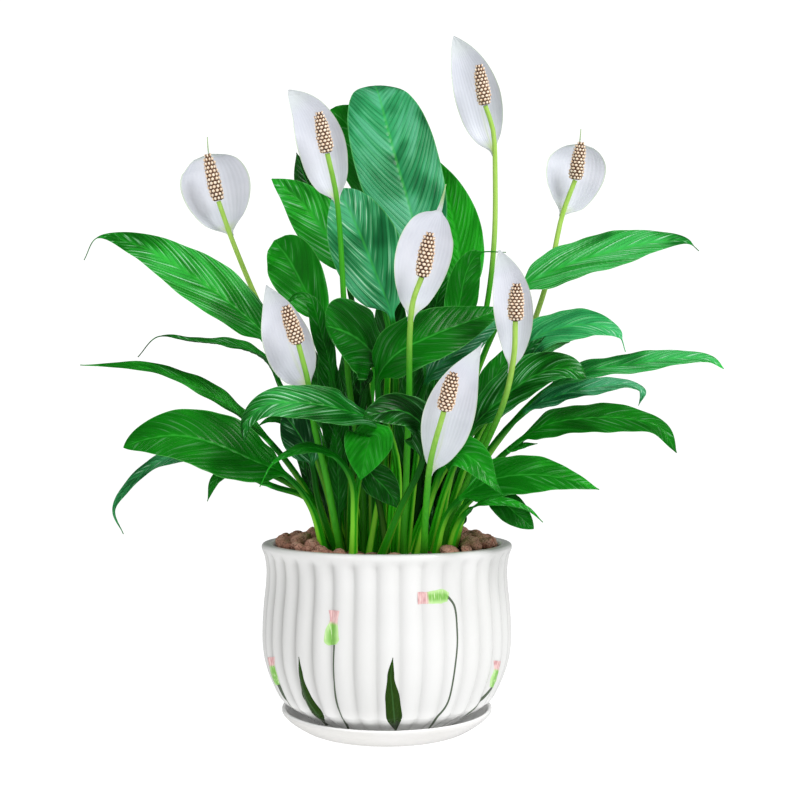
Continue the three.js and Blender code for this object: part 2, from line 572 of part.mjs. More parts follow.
const blooms = {
  bloom_left_high: {
    stem: [[-28, 10], [-46, 200, 14], [-66, 255, 18], [-88, 302, 20], [-104, 337, 18], [-119, 374, 8], [-128.5, 401, 2]],
    spadix: [-137, 437, -6],
    spathe: [[-119, 373, 15], [-124, 388, 18], [-129, 408, 20], [-133, 426, 18], [-136, 438, 14], [-137, 450, 10]],
    width: 54, blunt: 0.42, tail: 0.16, face: [0, -1, 0.2],
  },
  bloom_upper_left: {
    stem: [[-17, -22], [-20, 200, -28], [-29, 262, -38], [-33, 327, -46], [-36, 380, -44], [-39, 408, -46], [-45.5, 437.5, -54]],
    spadix: [-52, 469, -62],
    spathe: [[-40, 398, -38], [-43, 420, -37], [-49, 445, -38], [-59, 467, -42], [-75, 486, -50]],
    width: 36, blunt: 0.8, face: [-0.25, -1, 0.1],
  },
  bloom_top_right: {
    stem: [[24, 14], [40, 200, 16], [61, 255, 20], [76, 320, 24], [81.8, 370, 26], [82.6, 420, 26], [81, 455, 18], [75, 474, 12]],
    spadix: [70, 505, 4],
    spathe: [[83, 434, 33], [76, 455, 34], [70, 480, 32], [62, 503, 26], [51, 527, 18]],
    width: 36, sharp: 0.8, blunt: 0.85, face: [-0.25, -1, 0.1],
  },
  bloom_right_high: {
    stem: [[40, 5], [62, 195, 8], [88, 250, 12], [109, 300, 12], [124, 346, 10], [134, 391, 7], [143.6, 417, 2]],
    spadix: [148, 446, -5],
    spathe: [[134, 389, 14], [138, 400, 15.5], [142, 416, 19], [145, 432, 20], [147, 445, 16], [148, 456, 12]],
    width: 46, blunt: 0.4, tail: 0.16, face: [0, -1, 0.2],
  },
  bloom_centre: {
    stem: [[12, -48], [15, 200, -64], [17, 255, -86], [17.5, 300, -98], [20, 325, -106], [26.6, 343, -112]],
    spadix: [33, 377, -120],
    spathe: [[18, 307, -90], [21, 330, -93], [26, 355, -95], [33, 378, -98], [40, 394, -102], [45, 414, -106]],
    width: 38, sharp: 0.8, blunt: 0.5, tail: 0.2, thread: 1.9, face: [0.15, -1, 0.15],
  },
  bloom_right_mid: {
    stem: [[40, -34], [53, 168, -44], [72, 208, -58], [90, 250, -84], [97, 284, -98], [98, 309.5, -106]],
    spadix: [99, 338, -112],
    spathe: [[94.5, 267, -83], [97, 288, -88], [97, 314, -90], [93, 340, -92], [85.5, 364, -96]],
    width: 27, sharp: 1, blunt: 0.9, face: [-0.15, -1, 0.1],
  },
  bloom_front: {
    stem: [[28, -58], [30, 170, -88], [34, 206, -118], [43.6, 241, -136]],
    spadix: [51, 270, -144],
    spathe: [[34.5, 187, -95], [40, 212, -111], [46, 237, -121], [56, 263, -125], [73, 293, -127]],
    width: 34, sharp: 1.3, blunt: 1.4, face: [0.15, -1, 0.1],
  },
  bloom_left_mid: {
    stem: [[-34, -44], [-46, 190, -62], [-56, 232, -76], [-60, 262, -84], [-67.5, 292, -90]],
    spadix: [-77.5, 321, -98],
    spathe: [[-60, 256, -75], [-68, 275, -74], [-76, 297, -76], [-83, 317, -80], [-92, 337, -86]],
    width: 35, blunt: 0.95, face: [-0.15, -1, 0.1],
  },
};

for (const [name, bloom] of Object.entries(blooms)) {
  const stem = stemRings(bloom.stem, BLOOM_STEM_RADIUS, 6, 0.92);
  addPiece(`${name}_stem`, skin(stem), STEM_GREEN);
  addPiece(`${name}_spadix`, spadix(stem.at(-1), bloom.spadix), SPADIX_CREAM);
  const path = [spatheFoot(stem, bloom.spathe[0]), ...bloom.spathe.slice(1)];
  const hood = { ...bloom, path, neck: 0, fold: 0, droop: -0.34, wave: 0.8, steps: 7 };
  addPiece(`${name}_spathe`, growLeaf(hood), SPATHE_WHITE);
}

// ---------------------------------------------------------------- soil
// The potting mix, with clay pebbles over it, mounded at the sides and the back.
function soilTop(x, y) {
  const out = Math.hypot(x, y) / 84;
  const side = smooth((Math.abs(x) / 84 + Math.max(y, 0) / 84 - 0.25) / 0.5);
  return SOIL_EDGE_Z + SOIL_MOUND * side * smooth((1.02 - out) / 0.35);
}

function soilPlug() {
  const wall = innerWall.filter(([, z]) => z < SOIL_EDGE_Z - 5).map(([radius, z]) => [radius - CLEARANCE - 0.4, z]);
  wall[0][1] += CLEARANCE;
  const around = 20;
  const spin = (radius, j) => {
    const angle = (j / around) * 2 * Math.PI;
    return [radius * Math.cos(angle), radius * Math.sin(angle)];
  };
  const rows = wall.map(([radius, z]) => Array.from({ length: around }, (_, j) => [...spin(radius, j), z]));
  for (const radius of [84.2, 74, 56, 30]) {
    rows.push(
      Array.from({ length: around }, (_, j) => {
        const [x, y] = spin(radius, j);
        return [x, y, radius > 80 ? SOIL_EDGE_Z - 1 : soilTop(x, y)];
      }),
    );
  }
  const points = rows.flat();
  const faces = [];
  for (let i = 0; i + 1 < rows.length; i++) {
    for (let j = 0; j < around; j++) {
      const k = (j + 1) % around;
      const [a, b, c, d] = [i * around + j, i * around + k, (i + 1) * around + k, (i + 1) * around + j];
      faces.push(a, b, c, a, c, d);
    }
  }
  const bottom = points.push([0, 0, rows[0][0][2]]) - 1;
  const top = points.push([0, 0, SOIL_EDGE_Z]) - 1;
  const last = (rows.length - 1) * around;
  for (let j = 0; j < around; j++) {
    const k = (j + 1) % around;
    faces.push(bottom, k, j, top, last + j, last + k);
  }
  const geometry = new THREE.BufferGeometry();
  geometry.setAttribute("position", new THREE.Float32BufferAttribute(points.flat(), 3));
  geometry.setIndex(faces);
  return toSolid(geometry);
}

let soil = soilPlug();
for (let i = 0; i < PEBBLES; i++) {
  const turn = i * 2.39996;
  const out = 50 + 30 * Math.sqrt((i + 0.5) / PEBBLES);
  const size = out > 74 ? draw(5, 7) : draw(7, 9.5);
  const pebble = new THREE.IcosahedronGeometry(size, 0);
  pebble.scale(1, draw(0.75, 1), draw(0.6, 0.8));
  pebble.rotateZ(draw(0, 6.28));
  const reach = Math.min(out, 84.4 - size);
  const [x, y] = [reach * Math.cos(turn), reach * Math.sin(turn)];
  pebble.translate(x, y, soilTop(x, y) + draw(-0.5, 1.2));
  soil = soil.add(toSolid(pebble));
}

// The plain hole that a stalk, or a sheath of several, stands in: it leans as they do and is a hair
// wider than they are near the soil's surface.
function socket(stalks) {
  const middle = (loop) => loop.reduce((a, b) => a.clone().add(b), new THREE.Vector3()).divideScalar(loop.length);
  const feet = stalks.map((rings) => rings[0]);
  const low = middle(feet.flat());
  const leans = stalks.map((rings) => middle(rings[1]).sub(middle(rings[0])).normalize());
  const along = middle(leans).normalize();
  const side = new THREE.Vector3(1, 0, 0).addScaledVector(along, -along.x).normalize();
  const up = side.clone().cross(along);
  const stray = (point) => {
    const from = point.clone().sub(low);
    return Math.hypot(from.dot(side), from.dot(up));
  };
  const raised = stalks.flatMap((rings, i) => rings[0].map((p) => p.clone().addScaledVector(leans[i], 9)));
  const reach = Math.max(...feet.flat().map(stray), ...raised.map(stray));
  const radius = (reach + CLEARANCE) / Math.cos(Math.PI / 6);
  const deep = Math.min(...feet.flat().map((p) => p.clone().sub(low).dot(along))) - CLEARANCE;
  const rings = [deep, 40].map((height) => {
    const centre = low.clone().addScaledVector(along, height);
    return Array.from({ length: 6 }, (_, j) => {
      const turn = Math.PI - (j * Math.PI) / 3 - Math.PI / 6;
      return centre.clone().addScaledVector(side, radius * Math.cos(turn)).addScaledVector(up, radius * Math.sin(turn));
    });
  });
  return toSolid(skin(rings));
}

const seated = [
  ...Object.values(leaves).map((leaf) => [bladeRings(leaf)]),
  ...Object.values(tufts).map((group) => group.filter((leaf) => leaf.neck > 0).map(bladeRings)),
  ...Object.values(blooms).map((bloom) => [stemRings(bloom.stem, BLOOM_STEM_RADIUS, 6, 0.92)]),
];
for (const stalks of seated) {
  soil = soil.subtract(socket(stalks));
}
addPiece("soil", toGeometry(soil), CLAY_PEBBLE);

export default root;
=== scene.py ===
import math
import random
from bisect import bisect_left

import bpy
from mathutils import Matrix, Vector


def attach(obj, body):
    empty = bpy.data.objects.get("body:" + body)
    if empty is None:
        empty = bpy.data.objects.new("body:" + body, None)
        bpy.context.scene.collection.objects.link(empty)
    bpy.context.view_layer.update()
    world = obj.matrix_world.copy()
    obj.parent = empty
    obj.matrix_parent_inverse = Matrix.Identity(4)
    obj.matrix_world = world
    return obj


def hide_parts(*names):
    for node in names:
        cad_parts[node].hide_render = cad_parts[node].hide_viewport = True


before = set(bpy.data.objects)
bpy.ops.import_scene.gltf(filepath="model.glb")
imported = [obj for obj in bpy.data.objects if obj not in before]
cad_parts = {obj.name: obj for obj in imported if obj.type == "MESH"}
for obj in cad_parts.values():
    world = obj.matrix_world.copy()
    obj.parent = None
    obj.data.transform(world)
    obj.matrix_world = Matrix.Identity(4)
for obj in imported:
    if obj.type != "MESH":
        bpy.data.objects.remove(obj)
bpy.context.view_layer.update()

# ---------------------------------------------------------------- camera, light and floor
# The plant stands on a glowing white sheet under a plain white sky, with a broad soft lamp up to the
# right of the camera and a weaker one to the left. Glossy pieces mirror a dimmer sky than lights them.
MM = 0.001
EYE_X, EYE_BACK, EYE_Z = 10, 912, 231
LAMP_AIM = Vector((0, 0, 0.25))
SKY_LIGHT, SKY_MIRRORED, SKY_BEHIND = 0.52, 0.16, 1.1
SHEET_GLOW = 0.82


def add_object(name, data, place=(0, 0, 0)):
    """A new object in the scene."""
    thing = bpy.data.objects.new(name, data)
    thing.location = place
    bpy.context.scene.collection.objects.link(thing)
    return thing


def make_mesh(name, points, faces, crease=60):
    """A mesh object from points in metres, smooth but for edges sharper than `crease` degrees."""
    mesh = bpy.data.meshes.new(name)
    mesh.from_pydata([tuple(p) for p in points], [], faces)
    mesh.polygons.foreach_set("use_smooth", [True] * len(mesh.polygons))
    mesh.set_sharp_from_angle(angle=math.radians(crease))
    mesh.update()
    return add_object(name, mesh)


def feed(socket, value):
    """Wires a socket from another one, or else sets it. A colour is given without its alpha."""
    if isinstance(value, bpy.types.NodeSocket):
        socket.id_data.links.new(value, socket)
    elif socket.type == "RGBA":
        socket.default_value = (*value, 1)
    else:
        socket.default_value = value


def add_node(tree, kind, inputs=None, **settings):
    """A shader node with its settings and its inputs."""
    node = tree.nodes.new("ShaderNode" + kind)
    for key, value in settings.items():
        setattr(node, key, value)
    for key, value in (inputs or {}).items():
        feed(node.inputs[key], value)
    return node


def ramp(value, low, high, to_low=0.0, to_high=1.0):
    """A soft step: value from low to high becomes to_low to to_high."""
    return add_node(value.id_data, "MapRange", {
        "Value": value, "From Min": low, "From Max": high, "To Min": to_low, "To Max": to_high,
    }, interpolation_type="SMOOTHSTEP").outputs["Result"]


def blend(share, first, second):
    """Two colours mixed by a share from 0 to 1."""
    return add_node(share.id_data, "Mix", {0: share, 6: first, 7: second}, data_type="RGBA").outputs[2]


def grain(tree, scale, detail=2.0, stretch=None):
    """Cloudy noise over the piece, from 0 to 1, with `scale` lumps to the metre."""
    place = add_node(tree, "TexCoord").outputs["Object"]
    if stretch:
        place = add_node(tree, "Mapping", {"Vector": place, "Scale": stretch}).outputs[0]
    return add_node(tree, "TexNoise", {"Vector": place, "Scale": scale, "Detail": detail}).outputs["Fac"]


def new_material(name):
    """A material and its node tree, with a Principled shader in it."""
    material = bpy.data.materials.new(name)
    material.use_nodes = True
    return material, material.node_tree


def finish(material, colour, roughness, specular, relief=None, height=0.0, strength=1.0):
    """Feeds a material's shader. Its relief is `height` metres from its lowest to its highest."""
    tree = material.node_tree
    sockets = tree.nodes["Principled BSDF"].inputs
    feed(sockets["Base Color"], colour)
    feed(sockets["Roughness"], roughness)
    feed(sockets["Specular IOR Level"], specular)
    if relief:
        bump = add_node(tree, "Bump", {"Height": relief, "Distance": height, "Strength": strength})
        feed(sockets["Normal"], bump.outputs["Normal"])
    return material


camera_data = bpy.data.cameras.new("camera")
camera_data.lens = 53.8
camera_data.sensor_width = 36.0
camera_data.shift_y = 0.03
camera = add_object("camera", camera_data, (EYE_X * MM, -EYE_BACK * MM, EYE_Z * MM))
camera.rotation_euler = (math.radians(90), 0, 0)
bpy.context.scene.camera = camera

for lamp_name, place, power, size in (
    ("key_lamp", (1.0, -1.1, 1.5), 25.0, 0.7),
    ("fill_lamp", (-1.2, -1.3, 0.9), 5.0, 0.9),
):
    lamp_data = bpy.data.lights.new(lamp_name, "AREA")
    lamp_data.energy = power
    lamp_data.size = size
    lamp = add_object(lamp_name, lamp_data, place)
    lamp.rotation_euler = (LAMP_AIM - Vector(place)).to_track_quat("-Z", "Y").to_euler()

world = bpy.data.worlds.new("pale_sky")
world.use_nodes = True
tree = world.node_tree
ray = add_node(tree, "LightPath").outputs
lights = ramp(ray["Is Glossy Ray"], 0, 1, SKY_LIGHT, SKY_MIRRORED)
sky = tree.nodes["Background"].inputs
feed(sky["Color"], (1.0, 1.0, 1.0))
feed(sky["Strength"], ramp(ray["Is Camera Ray"], 0, 1, lights, SKY_BEHIND))
bpy.context.scene.world = world
bpy.context.scene.view_settings.view_transform = "Standard"

floor = make_mesh("floor", [(-6, -3, 0), (6, -3, 0), (6, 9, 0), (-6, 9, 0)], [(0, 1, 2, 3)])
sheet, tree = new_material("glowing_sheet")
floor.data.materials.append(finish(
    sheet, blend(grain(tree, 3.0), (0.40, 0.40, 0.40), (0.43, 0.43, 0.43)), 0.7, 0.0))
glow = tree.nodes["Principled BSDF"].inputs
mirrored = add_node(tree, "LightPath").outputs["Is Glossy Ray"]
feed(glow["Emission Color"], blend(mirrored, (1.0, 1.0, 1.0), (0.22, 0.22, 0.22)))
feed(glow["Emission Strength"], SHEET_GLOW)

# ---------------------------------------------------------------- saucer
# A shallow dish of white glazed earthenware, pressed in a mould: flat underneath, with a low flared
# wall and a rounded lip. The glaze is glossy, pools a little and hides small pits.
PEEL_PER_LUMP = 14.0


def smooth_outline(stops, steps):
    """A round-cornered outline through [radius, z] stops in millimetres, `steps` points to a stretch."""
    line = []
    for i in range(len(stops) - 1):
        a, b = Vector(stops[i]), Vector(stops[i + 1])
        before = Vector(stops[max(i - 1, 0)])
        after = Vector(stops[min(i + 2, len(stops) - 1)])
        lean_a, lean_b = (b - before) * 0.5, (after - a) * 0.5
        for k in range(steps):
            t = k / steps
            line.append(
                a * (2 * t**3 - 3 * t**2 + 1) + lean_a * (t**3 - 2 * t**2 + t)
                + b * (-2 * t**3 + 3 * t**2) + lean_b * (t**3 - t**2)
            )
    line.append(Vector(stops[-1]))
    return line


def soft(t):
    """A gentle step from 0 at t = 0 to 1 at t = 1."""
    t = min(max(t, 0.0), 1.0)
    return t * t * (3 - 2 * t)


def round_axis(radius, angle, z):
    """The point, in metres, at a radius and a height in mm and an angle about the pot's axis."""
    return Vector((radius * math.cos(angle), radius * math.sin(angle), z)) * MM


def band(low, high, around):
    """The faces between two loops of `around` points, whose first points are `low` and `high`."""
    return [(low + j, low + (j + 1) % around, high + (j + 1) % around, high + j) for j in range(around)]


def turned(name, outline, around, reach=None, start=0.0):
    """A piece turned on a wheel, from an outline that ends on its axis or closes on itself."""
    rows = [stop for stop in outline if stop[0] > 0]
    points, faces = [], []
    for radius, z in rows:
        for j in range(around):
            angle = start + 2 * math.pi * j / around
            points.append(round_axis(reach(radius, angle, z) if reach else radius, angle, z))
    closed = len(rows) == len(outline)
    for i in range(len(rows) if closed else len(rows) - 1):
        faces += band(i * around, (i + 1) % len(rows) * around, around)
    if not closed:
        points += [Vector((0, 0, outline[0][1])) * MM, Vector((0, 0, outline[-1][1])) * MM]
        below, above, last = len(points) - 2, len(points) - 1, (len(rows) - 1) * around
        for j in range(around):
            k = (j + 1) % around
            faces += [(below, k, j), (last + j, last + k, above)]
    return make_mesh(name, points, faces)


def give_field(piece, name, values):
    """A three-number field on the points of a piece, which its material reads by name."""
    field = piece.data.attributes.new(name, "FLOAT_VECTOR", "POINT")
    field.data.foreach_set("vector", [x for value in values for x in value])


def read_field(tree, name):
    """The three numbers of a field on the piece, as sockets."""
    field = add_node(tree, "Attribute", attribute_name=name).outputs["Vector"]
    return add_node(tree, "SeparateXYZ", {"Vector": field}).outputs


def maths(operation, first, second=0.0):
    """One arithmetic node."""
    return add_node(first.id_data, "Math", {0: first, 1: second}, operation=operation).outputs[0]


def times(product, *factors):
    """A product of sockets and numbers, the first of them a socket."""
    for factor in factors:
        product = maths("MULTIPLY", product, factor)
    return product


def layers(colour, *coats):
    """Coats of colour over a ground, each given as its share, from 0 to 1, and its colour."""
    for share, coat in coats:
        colour = blend(share, colour, coat)
    return colour


def new_group(name, inputs, outputs):
    """A node group with named inputs and outputs, and their sockets inside it."""
    group = bpy.data.node_groups.new(name, "ShaderNodeTree")
    for side, names in (("INPUT", inputs), ("OUTPUT", outputs)):
        for key in names:
            group.interface.new_socket(key, in_out=side, socket_type="NodeSocketFloat")
    return group, group.nodes.new("NodeGroupInput").outputs, group.nodes.new("NodeGroupOutput").inputs


def glaze_skin():
    """A shader group for glaze: where it pools, and its orange-peel skin."""
    group, given, made = new_group("glaze_skin", ["Lumps"], ["Pooling", "Skin"])
    feed(made["Pooling"], ramp(grain(group, given["Lumps"], 3.0), 0.35, 0.7))
    feed(made["Skin"], grain(group, times(given["Lumps"], PEEL_PER_LUMP), 1.0))
    return group


GLAZE_SKIN = glaze_skin()


def glaze(name, thick, thin, painted_shading, lumps):
    """Glossy white glaze over a pale body, warmer where it runs thin, greyed by painted shade and whitened by
    painted light where the piece's field asks for them.
    """
    material, tree = new_material(name)
    skin = add_node(tree, "Group", {"Lumps": lumps}, node_tree=GLAZE_SKIN).outputs
    # the field's first number lays on painted shade in the given grey, its second painted light in near-white
    shaded, lit, _ = read_field(tree, "painted_shading")
    colour = layers(thin, (skin["Pooling"], thick), (shaded, painted_shading), (lit, (0.93, 0.93, 0.92)))
    return finish(material, colour, ramp(skin["Pooling"], 0, 1, 0.2, 0.11), 0.45, skin["Skin"], 0.00006, 0.6)


def settle(piece, material, node=None):
    """Gives a piece its finish. It rides the plant's one body and may stand for a node."""
    piece.data.materials.append(material)
    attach(piece, "root")
    if node:
        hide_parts(node)


saucer_outline = [Vector((0, 0)), Vector((30, 0))] + smooth_outline([
    (56, 0), (64, 2.4), (73.6, 8.5), (78.6, 13.2), (79.6, 15.6), (79.2, 16.8), (78.0, 17.0), (76.6, 16.0),
    (74.0, 12.2), (69.0, 7.6), (63, 4.9), (50, 4.7),
], 4) + [Vector((20, 4.7)), Vector((0, 4.7))]
saucer = turned("glazed_saucer", saucer_outline, 144)
# painted light: the saucer's glaze is whitened where it faces up, so its shaded well shows light
give_field(saucer, "painted_shading", [(0, soft((v.normal.z + 0.1) / 0.5), 0) for v in saucer.data.vertices])
saucer_glaze = glaze("saucer_glaze", (0.79, 0.78, 0.77), (0.76, 0.75, 0.73), (0.5, 0.5, 0.5), 22.0)
settle(saucer, saucer_glaze, "saucer")

# ---------------------------------------------------------------- pot
# A round pot of the same ware, thrown, then fluted by hand with thirty-six upright grooves that die
# out under the lip. It has a waist under the lip, a full belly and a foot ring with a drain hole.
FLUTES = 36
FLUTE_DEPTH = 2.2
FLUTE_TURN = math.radians(-93.7)
FLUTE_LOW, FLUTE_HIGH = 5, 138
OUTSIDE_DEPTH = 3.2
pot_outer = smooth_outline([
    (50, 5), (54.4, 8), (60, 11.4), (66.4, 15.3), (72.8, 19.3), (77.8, 22.9), (81.8, 27), (88.4, 41),
    (93.0, 56), (94.6, 72), (93.8, 92), (92.0, 110), (91.6, 122), (92.8, 131.6), (94.7, 137.2),
    (94.8, 139.6), (93.2, 141.1), (88.6, 141.2),
], 5)
pot_inner = smooth_outline([
    (88.6, 141.2), (86.0, 139.6), (85.0, 134), (84.6, 118), (86, 64), (75, 27), (55, 13),
], 4)[1:]


def pot_radius(z):
    """The outer radius of the pot at a height, before the flutes."""
    for low, high in zip(pot_outer, pot_outer[1:]):
        if low[1] <= z <= high[1]:
            return low[0] + (high[0] - low[0]) * (z - low[1]) / max(high[1] - low[1], 1e-6)
    return pot_outer[-1][0] if z > 100 else pot_outer[0][0]


def on_outside(radius, z):
    """Whether a spot of the wall is on its outside."""
    return radius > pot_radius(z) - OUTSIDE_DEPTH


def groove(angle, z):
    """How deep in a flute a spot on the outer wall is, from 0 on a rib to 1 in the valley."""
    part = ((angle - FLUTE_TURN) / (2 * math.pi) * FLUTES) % 1.0
    return (1 - math.sin(math.pi * part) ** 0.85) * soft((z - FLUTE_LOW) / 9) * soft((FLUTE_HIGH - z) / 7)


def fluted(radius, angle, z):
    """The pot's outer wall at an angle and a height, flutes cut in."""
    return radius - FLUTE_DEPTH * groove(angle, z)


def pot_wall(radius, angle, z):
    """The wall of the pot: fluted outside, plain inside."""
    return fluted(radius, angle, z) if on_outside(radius, z) else radius


pot_outline = [Vector((8, 7)), Vector((41, 7)), Vector((43, 5))] + pot_outer + pot_inner
pot_outline += [Vector((30, 13)), Vector((8, 13))]
pot = turned("glazed_pot", pot_outline, FLUTES * 12, pot_wall, FLUTE_TURN)

# painted shade in the flute valleys, heavier on the left, away from the lamp, and painted light on the foot,
# as if from the sheet's glow, and on the inside of the pot
shades = []
for v in pot.data.vertices:
    radius, angle, z = math.hypot(v.co.x, v.co.y) / MM, math.atan2(v.co.y, v.co.x), v.co.z / MM
    outside = on_outside(radius, z)
    shade = 0.24 + 0.58 * soft((40 * MM - v.co.x) / (120 * MM))
    valley = groove(angle, z) ** 1.3 * shade if outside else 0
    shades.append((valley, soft((34 - z) / 18) if outside else 1, 0))
give_field(pot, "painted_shading", shades)
# the third colour is the grey of the painted shade
pot_glaze = glaze("pot_glaze", (0.775, 0.775, 0.77), (0.75, 0.75, 0.74), (0.44, 0.44, 0.43), 16.0)
settle(pot, pot_glaze, "pot")

# ---------------------------------------------------------------- painted sprigs on the pot
# Common botanical ornament, brushed on before the last firing: pointed dark leaves, and buds with a
# pink crown and a green cup on hair-thin stems. It is set out as seen from the front, then again behind.
LEAF_TINT, BUD_TINT, STEM_TINT = 0.0, 1.0, 2.0
STROKE_STEPS, STROKE_ACROSS = 10, 20
PAINT_RISE = 0.3
sprigs = [
    # two pointed leaves
    (LEAF_TINT, [(4.6, 52.7), (3.0, 38), (4.4, 21), (5.6, 8), (6.9, -3.5)], [0.5, 5.4, 11.5, 12.4, 1.6]),
    (LEAF_TINT, [(-67.2, 53.4), (-65.6, 38), (-62.0, 24), (-54.6, 12), (-46.0, 0.6)],
     [0.4, 4.0, 7.2, 6.4, 1.4]),
    # an upright bud on its stem
    (BUD_TINT, [(-40.4, 88.7), (-40.8, 81), (-42.2, 72), (-42.2, 66), (-41.6, 62.4)],
     [8.6, 6.4, 10.4, 11.8, 7.0]),
    (STEM_TINT, [(-40.7, 62.4), (-41.4, 44), (-39.8, 22), (-35.4, 8), (-29.4, -1.8)],
     [1.6, 1.3, 1.3, 1.3, 1.1]),
    # a nodding bud on its stem
    (BUD_TINT, [(23.6, 98.0), (30.0, 98.2), (36.4, 99), (42.4, 99.4), (47.0, 98.8)],
     [9.4, 9.0, 10.0, 11.2, 7.0]),
    (STEM_TINT, [(46.6, 99.4), (51.4, 92), (53.2, 79), (53.2, 57), (47.6, 22), (38.0, 6), (31.6, -1.8)],
     [1.8, 1.5, 1.3, 1.2, 1.2, 1.2, 0.9]),
    # a bud and its stem at either side
    (BUD_TINT, [(-88.0, 53.2), (-87.4, 46), (-85.6, 38), (-83.4, 32)], [5.6, 4.0, 5.2, 3.0]),
    (STEM_TINT, [(-83.4, 32), (-78.6, 22), (-71.6, 13)], [1.3, 1.1, 0.9]),
    (BUD_TINT, [(85.0, 50.2), (84.0, 43), (82.4, 36), (80.0, 30)], [4.8, 3.6, 5.0, 3.0]),
    (STEM_TINT, [(80.0, 30), (71.0, 18), (56.0, 5)], [1.3, 1.1, 0.9]),
]


def mix(a, b, t):
    """The value a share t of the way from a to b."""
    return a + (b - a) * t


def seen_at(x, z, depth):
    """Where a spot really is, in mm, that shows at x and z of the upright plane through the pot's axis."""
    spread = 1 + depth / EYE_BACK
    return EYE_X + (x - EYE_X) * spread, EYE_Z + (z - EYE_Z) * spread


def on_pot(x, z):
    """The angle and the height on the pot of the spot that shows at x and z, found in a few steps."""
    depth = -88.0
    for _ in range(6):
        real_x, real_z = seen_at(x, z, depth)
        radius = pot_radius(real_z) - 0.2
        depth = -math.sqrt(max(radius**2 - real_x**2, 30.0))
    return math.atan2(depth, real_x), real_z


points, faces, field = [], [], []
for tint, middle, widths in sprigs:
    fine = smooth_outline(middle, STROKE_STEPS)
    start = len(points)
    for i, spot in enumerate(fine):
        ahead = fine[min(i + 1, len(fine) - 1)] - fine[max(i - 1, 0)]
        side = Vector((-ahead[1], ahead[0])).normalized()
        share = i / STROKE_STEPS
        k = min(int(share), len(widths) - 2)
        width = mix(widths[k], widths[k + 1], soft(share - k))
        for j in range(STROKE_ACROSS + 1):
            u = j / STROKE_ACROSS * 2 - 1
            angle, z = on_pot(*(spot + side * (u * width / 2)))
            out = fluted(pot_radius(z), angle, z) + PAINT_RISE * (1 - u**4) + 0.04
            points.append(round_axis(out, angle, z))
            field.append((i / (len(fine) - 1), u, tint))
    for i in range(len(fine) - 1):
        row = start + i * (STROKE_ACROSS + 1)
        faces += band(row, row + STROKE_ACROSS + 1, STROKE_ACROSS + 1)[:STROKE_ACROSS]
front_count = len(points)
points += [Vector((-p.x, -p.y, p.z)) for p in points]
faces += [tuple(v + front_count for v in face) for face in faces]
painting = make_mesh("painted_sprigs", points, faces)
give_field(painting, "brush", field + field)

paint, tree = new_material("underglaze_colours")
along, across, tint = read_field(tree, "brush")
edge = maths("ABSOLUTE", across)
streaks = grain(tree, 900, 2.0, (1, 1, 0.12))
leaf_body = blend(streaks, (0.005, 0.024, 0.001), (0.028, 0.078, 0.004))
leaf_paint = blend(ramp(edge, 0.0, 0.16, 0.5, 0.0), leaf_body, (0.06, 0.17, 0.05))
cup = blend(ramp(edge, 0.2, 1.0), (0.22, 0.50, 0.10), (0.52, 0.78, 0.34))
cup = blend(ramp(streaks, 0.5, 0.7), cup, (0.60, 0.80, 0.42))
crown = blend(ramp(streaks, 0.35, 0.65), (0.62, 0.33, 0.34), (0.84, 0.60, 0.58))
bud_paint = blend(ramp(along, 0.26, 0.36), crown, cup)
colour = layers(leaf_paint, (ramp(tint, 0.4, 0.6), bud_paint),
                (ramp(tint, 1.4, 1.6), (0.10, 0.13, 0.09)))
settle(painting, finish(paint, colour, 0.2, 0.12, streaks, 0.00004))

# ---------------------------------------------------------------- how the leaves grow
# Each leaf is one blade on a long stalk that widens to a sheath at the soil. A blade is thin and
# glossy, folded a little along its pale midrib, and quilted between side veins that sweep to the tip.
FOOT_Z = 130.5
PETIOLE_RADIUS = 2.2
VEIN_SPACING, SLIM_VEIN_SPACING = 9.0, 6.0
STALK_STEPS = 14
LINE_STEPS = 40
COLUMNS_PER_VEIN, FEWEST_COLUMNS, MOST_COLUMNS = 3.5, 8, 20
ROWS_PER_VEIN, FEWEST_ROWS, MOST_ROWS = 5, 28, 130
SHEATH_SWELL = 0.6
BASE_THICK, TIP_THICK, SIDE_THICK = 0.85, 0.4, 0.27
RIB_DEPTH, CHANNEL_DEPTH = 0.55, 0.35
SLOW_RIPPLE, QUICK_RIPPLE = 17, 43
FEET = []

# What a leaf has unless its table says otherwise: the stops of its path below the blade, how soon the
# blade widens and how long it narrows, the share of its tip that is a thread and how thick that is, how
# far its side veins sweep, how fine its mesh is, its fold in degrees, and its droop, wave and quilting.
PLAIN_LEAF = dict(
    neck=2, sharp=0.7, blunt=1.1, tail=0, thread=0, sweep=2.2, fine=1.0, fold=14, droop=0.12, wave=1.6,
    quilt=0.55)


def seen(stop):
    """A stop as seen from the front, [x, z, depth] in mm, as a real place. A foot has no z of its own."""
    if isinstance(stop, Vector):
        return stop
    x, z = seen_at(stop[0], stop[1], stop[-1])
    return Vector((x, stop[-1], FOOT_Z if len(stop) == 2 else z))


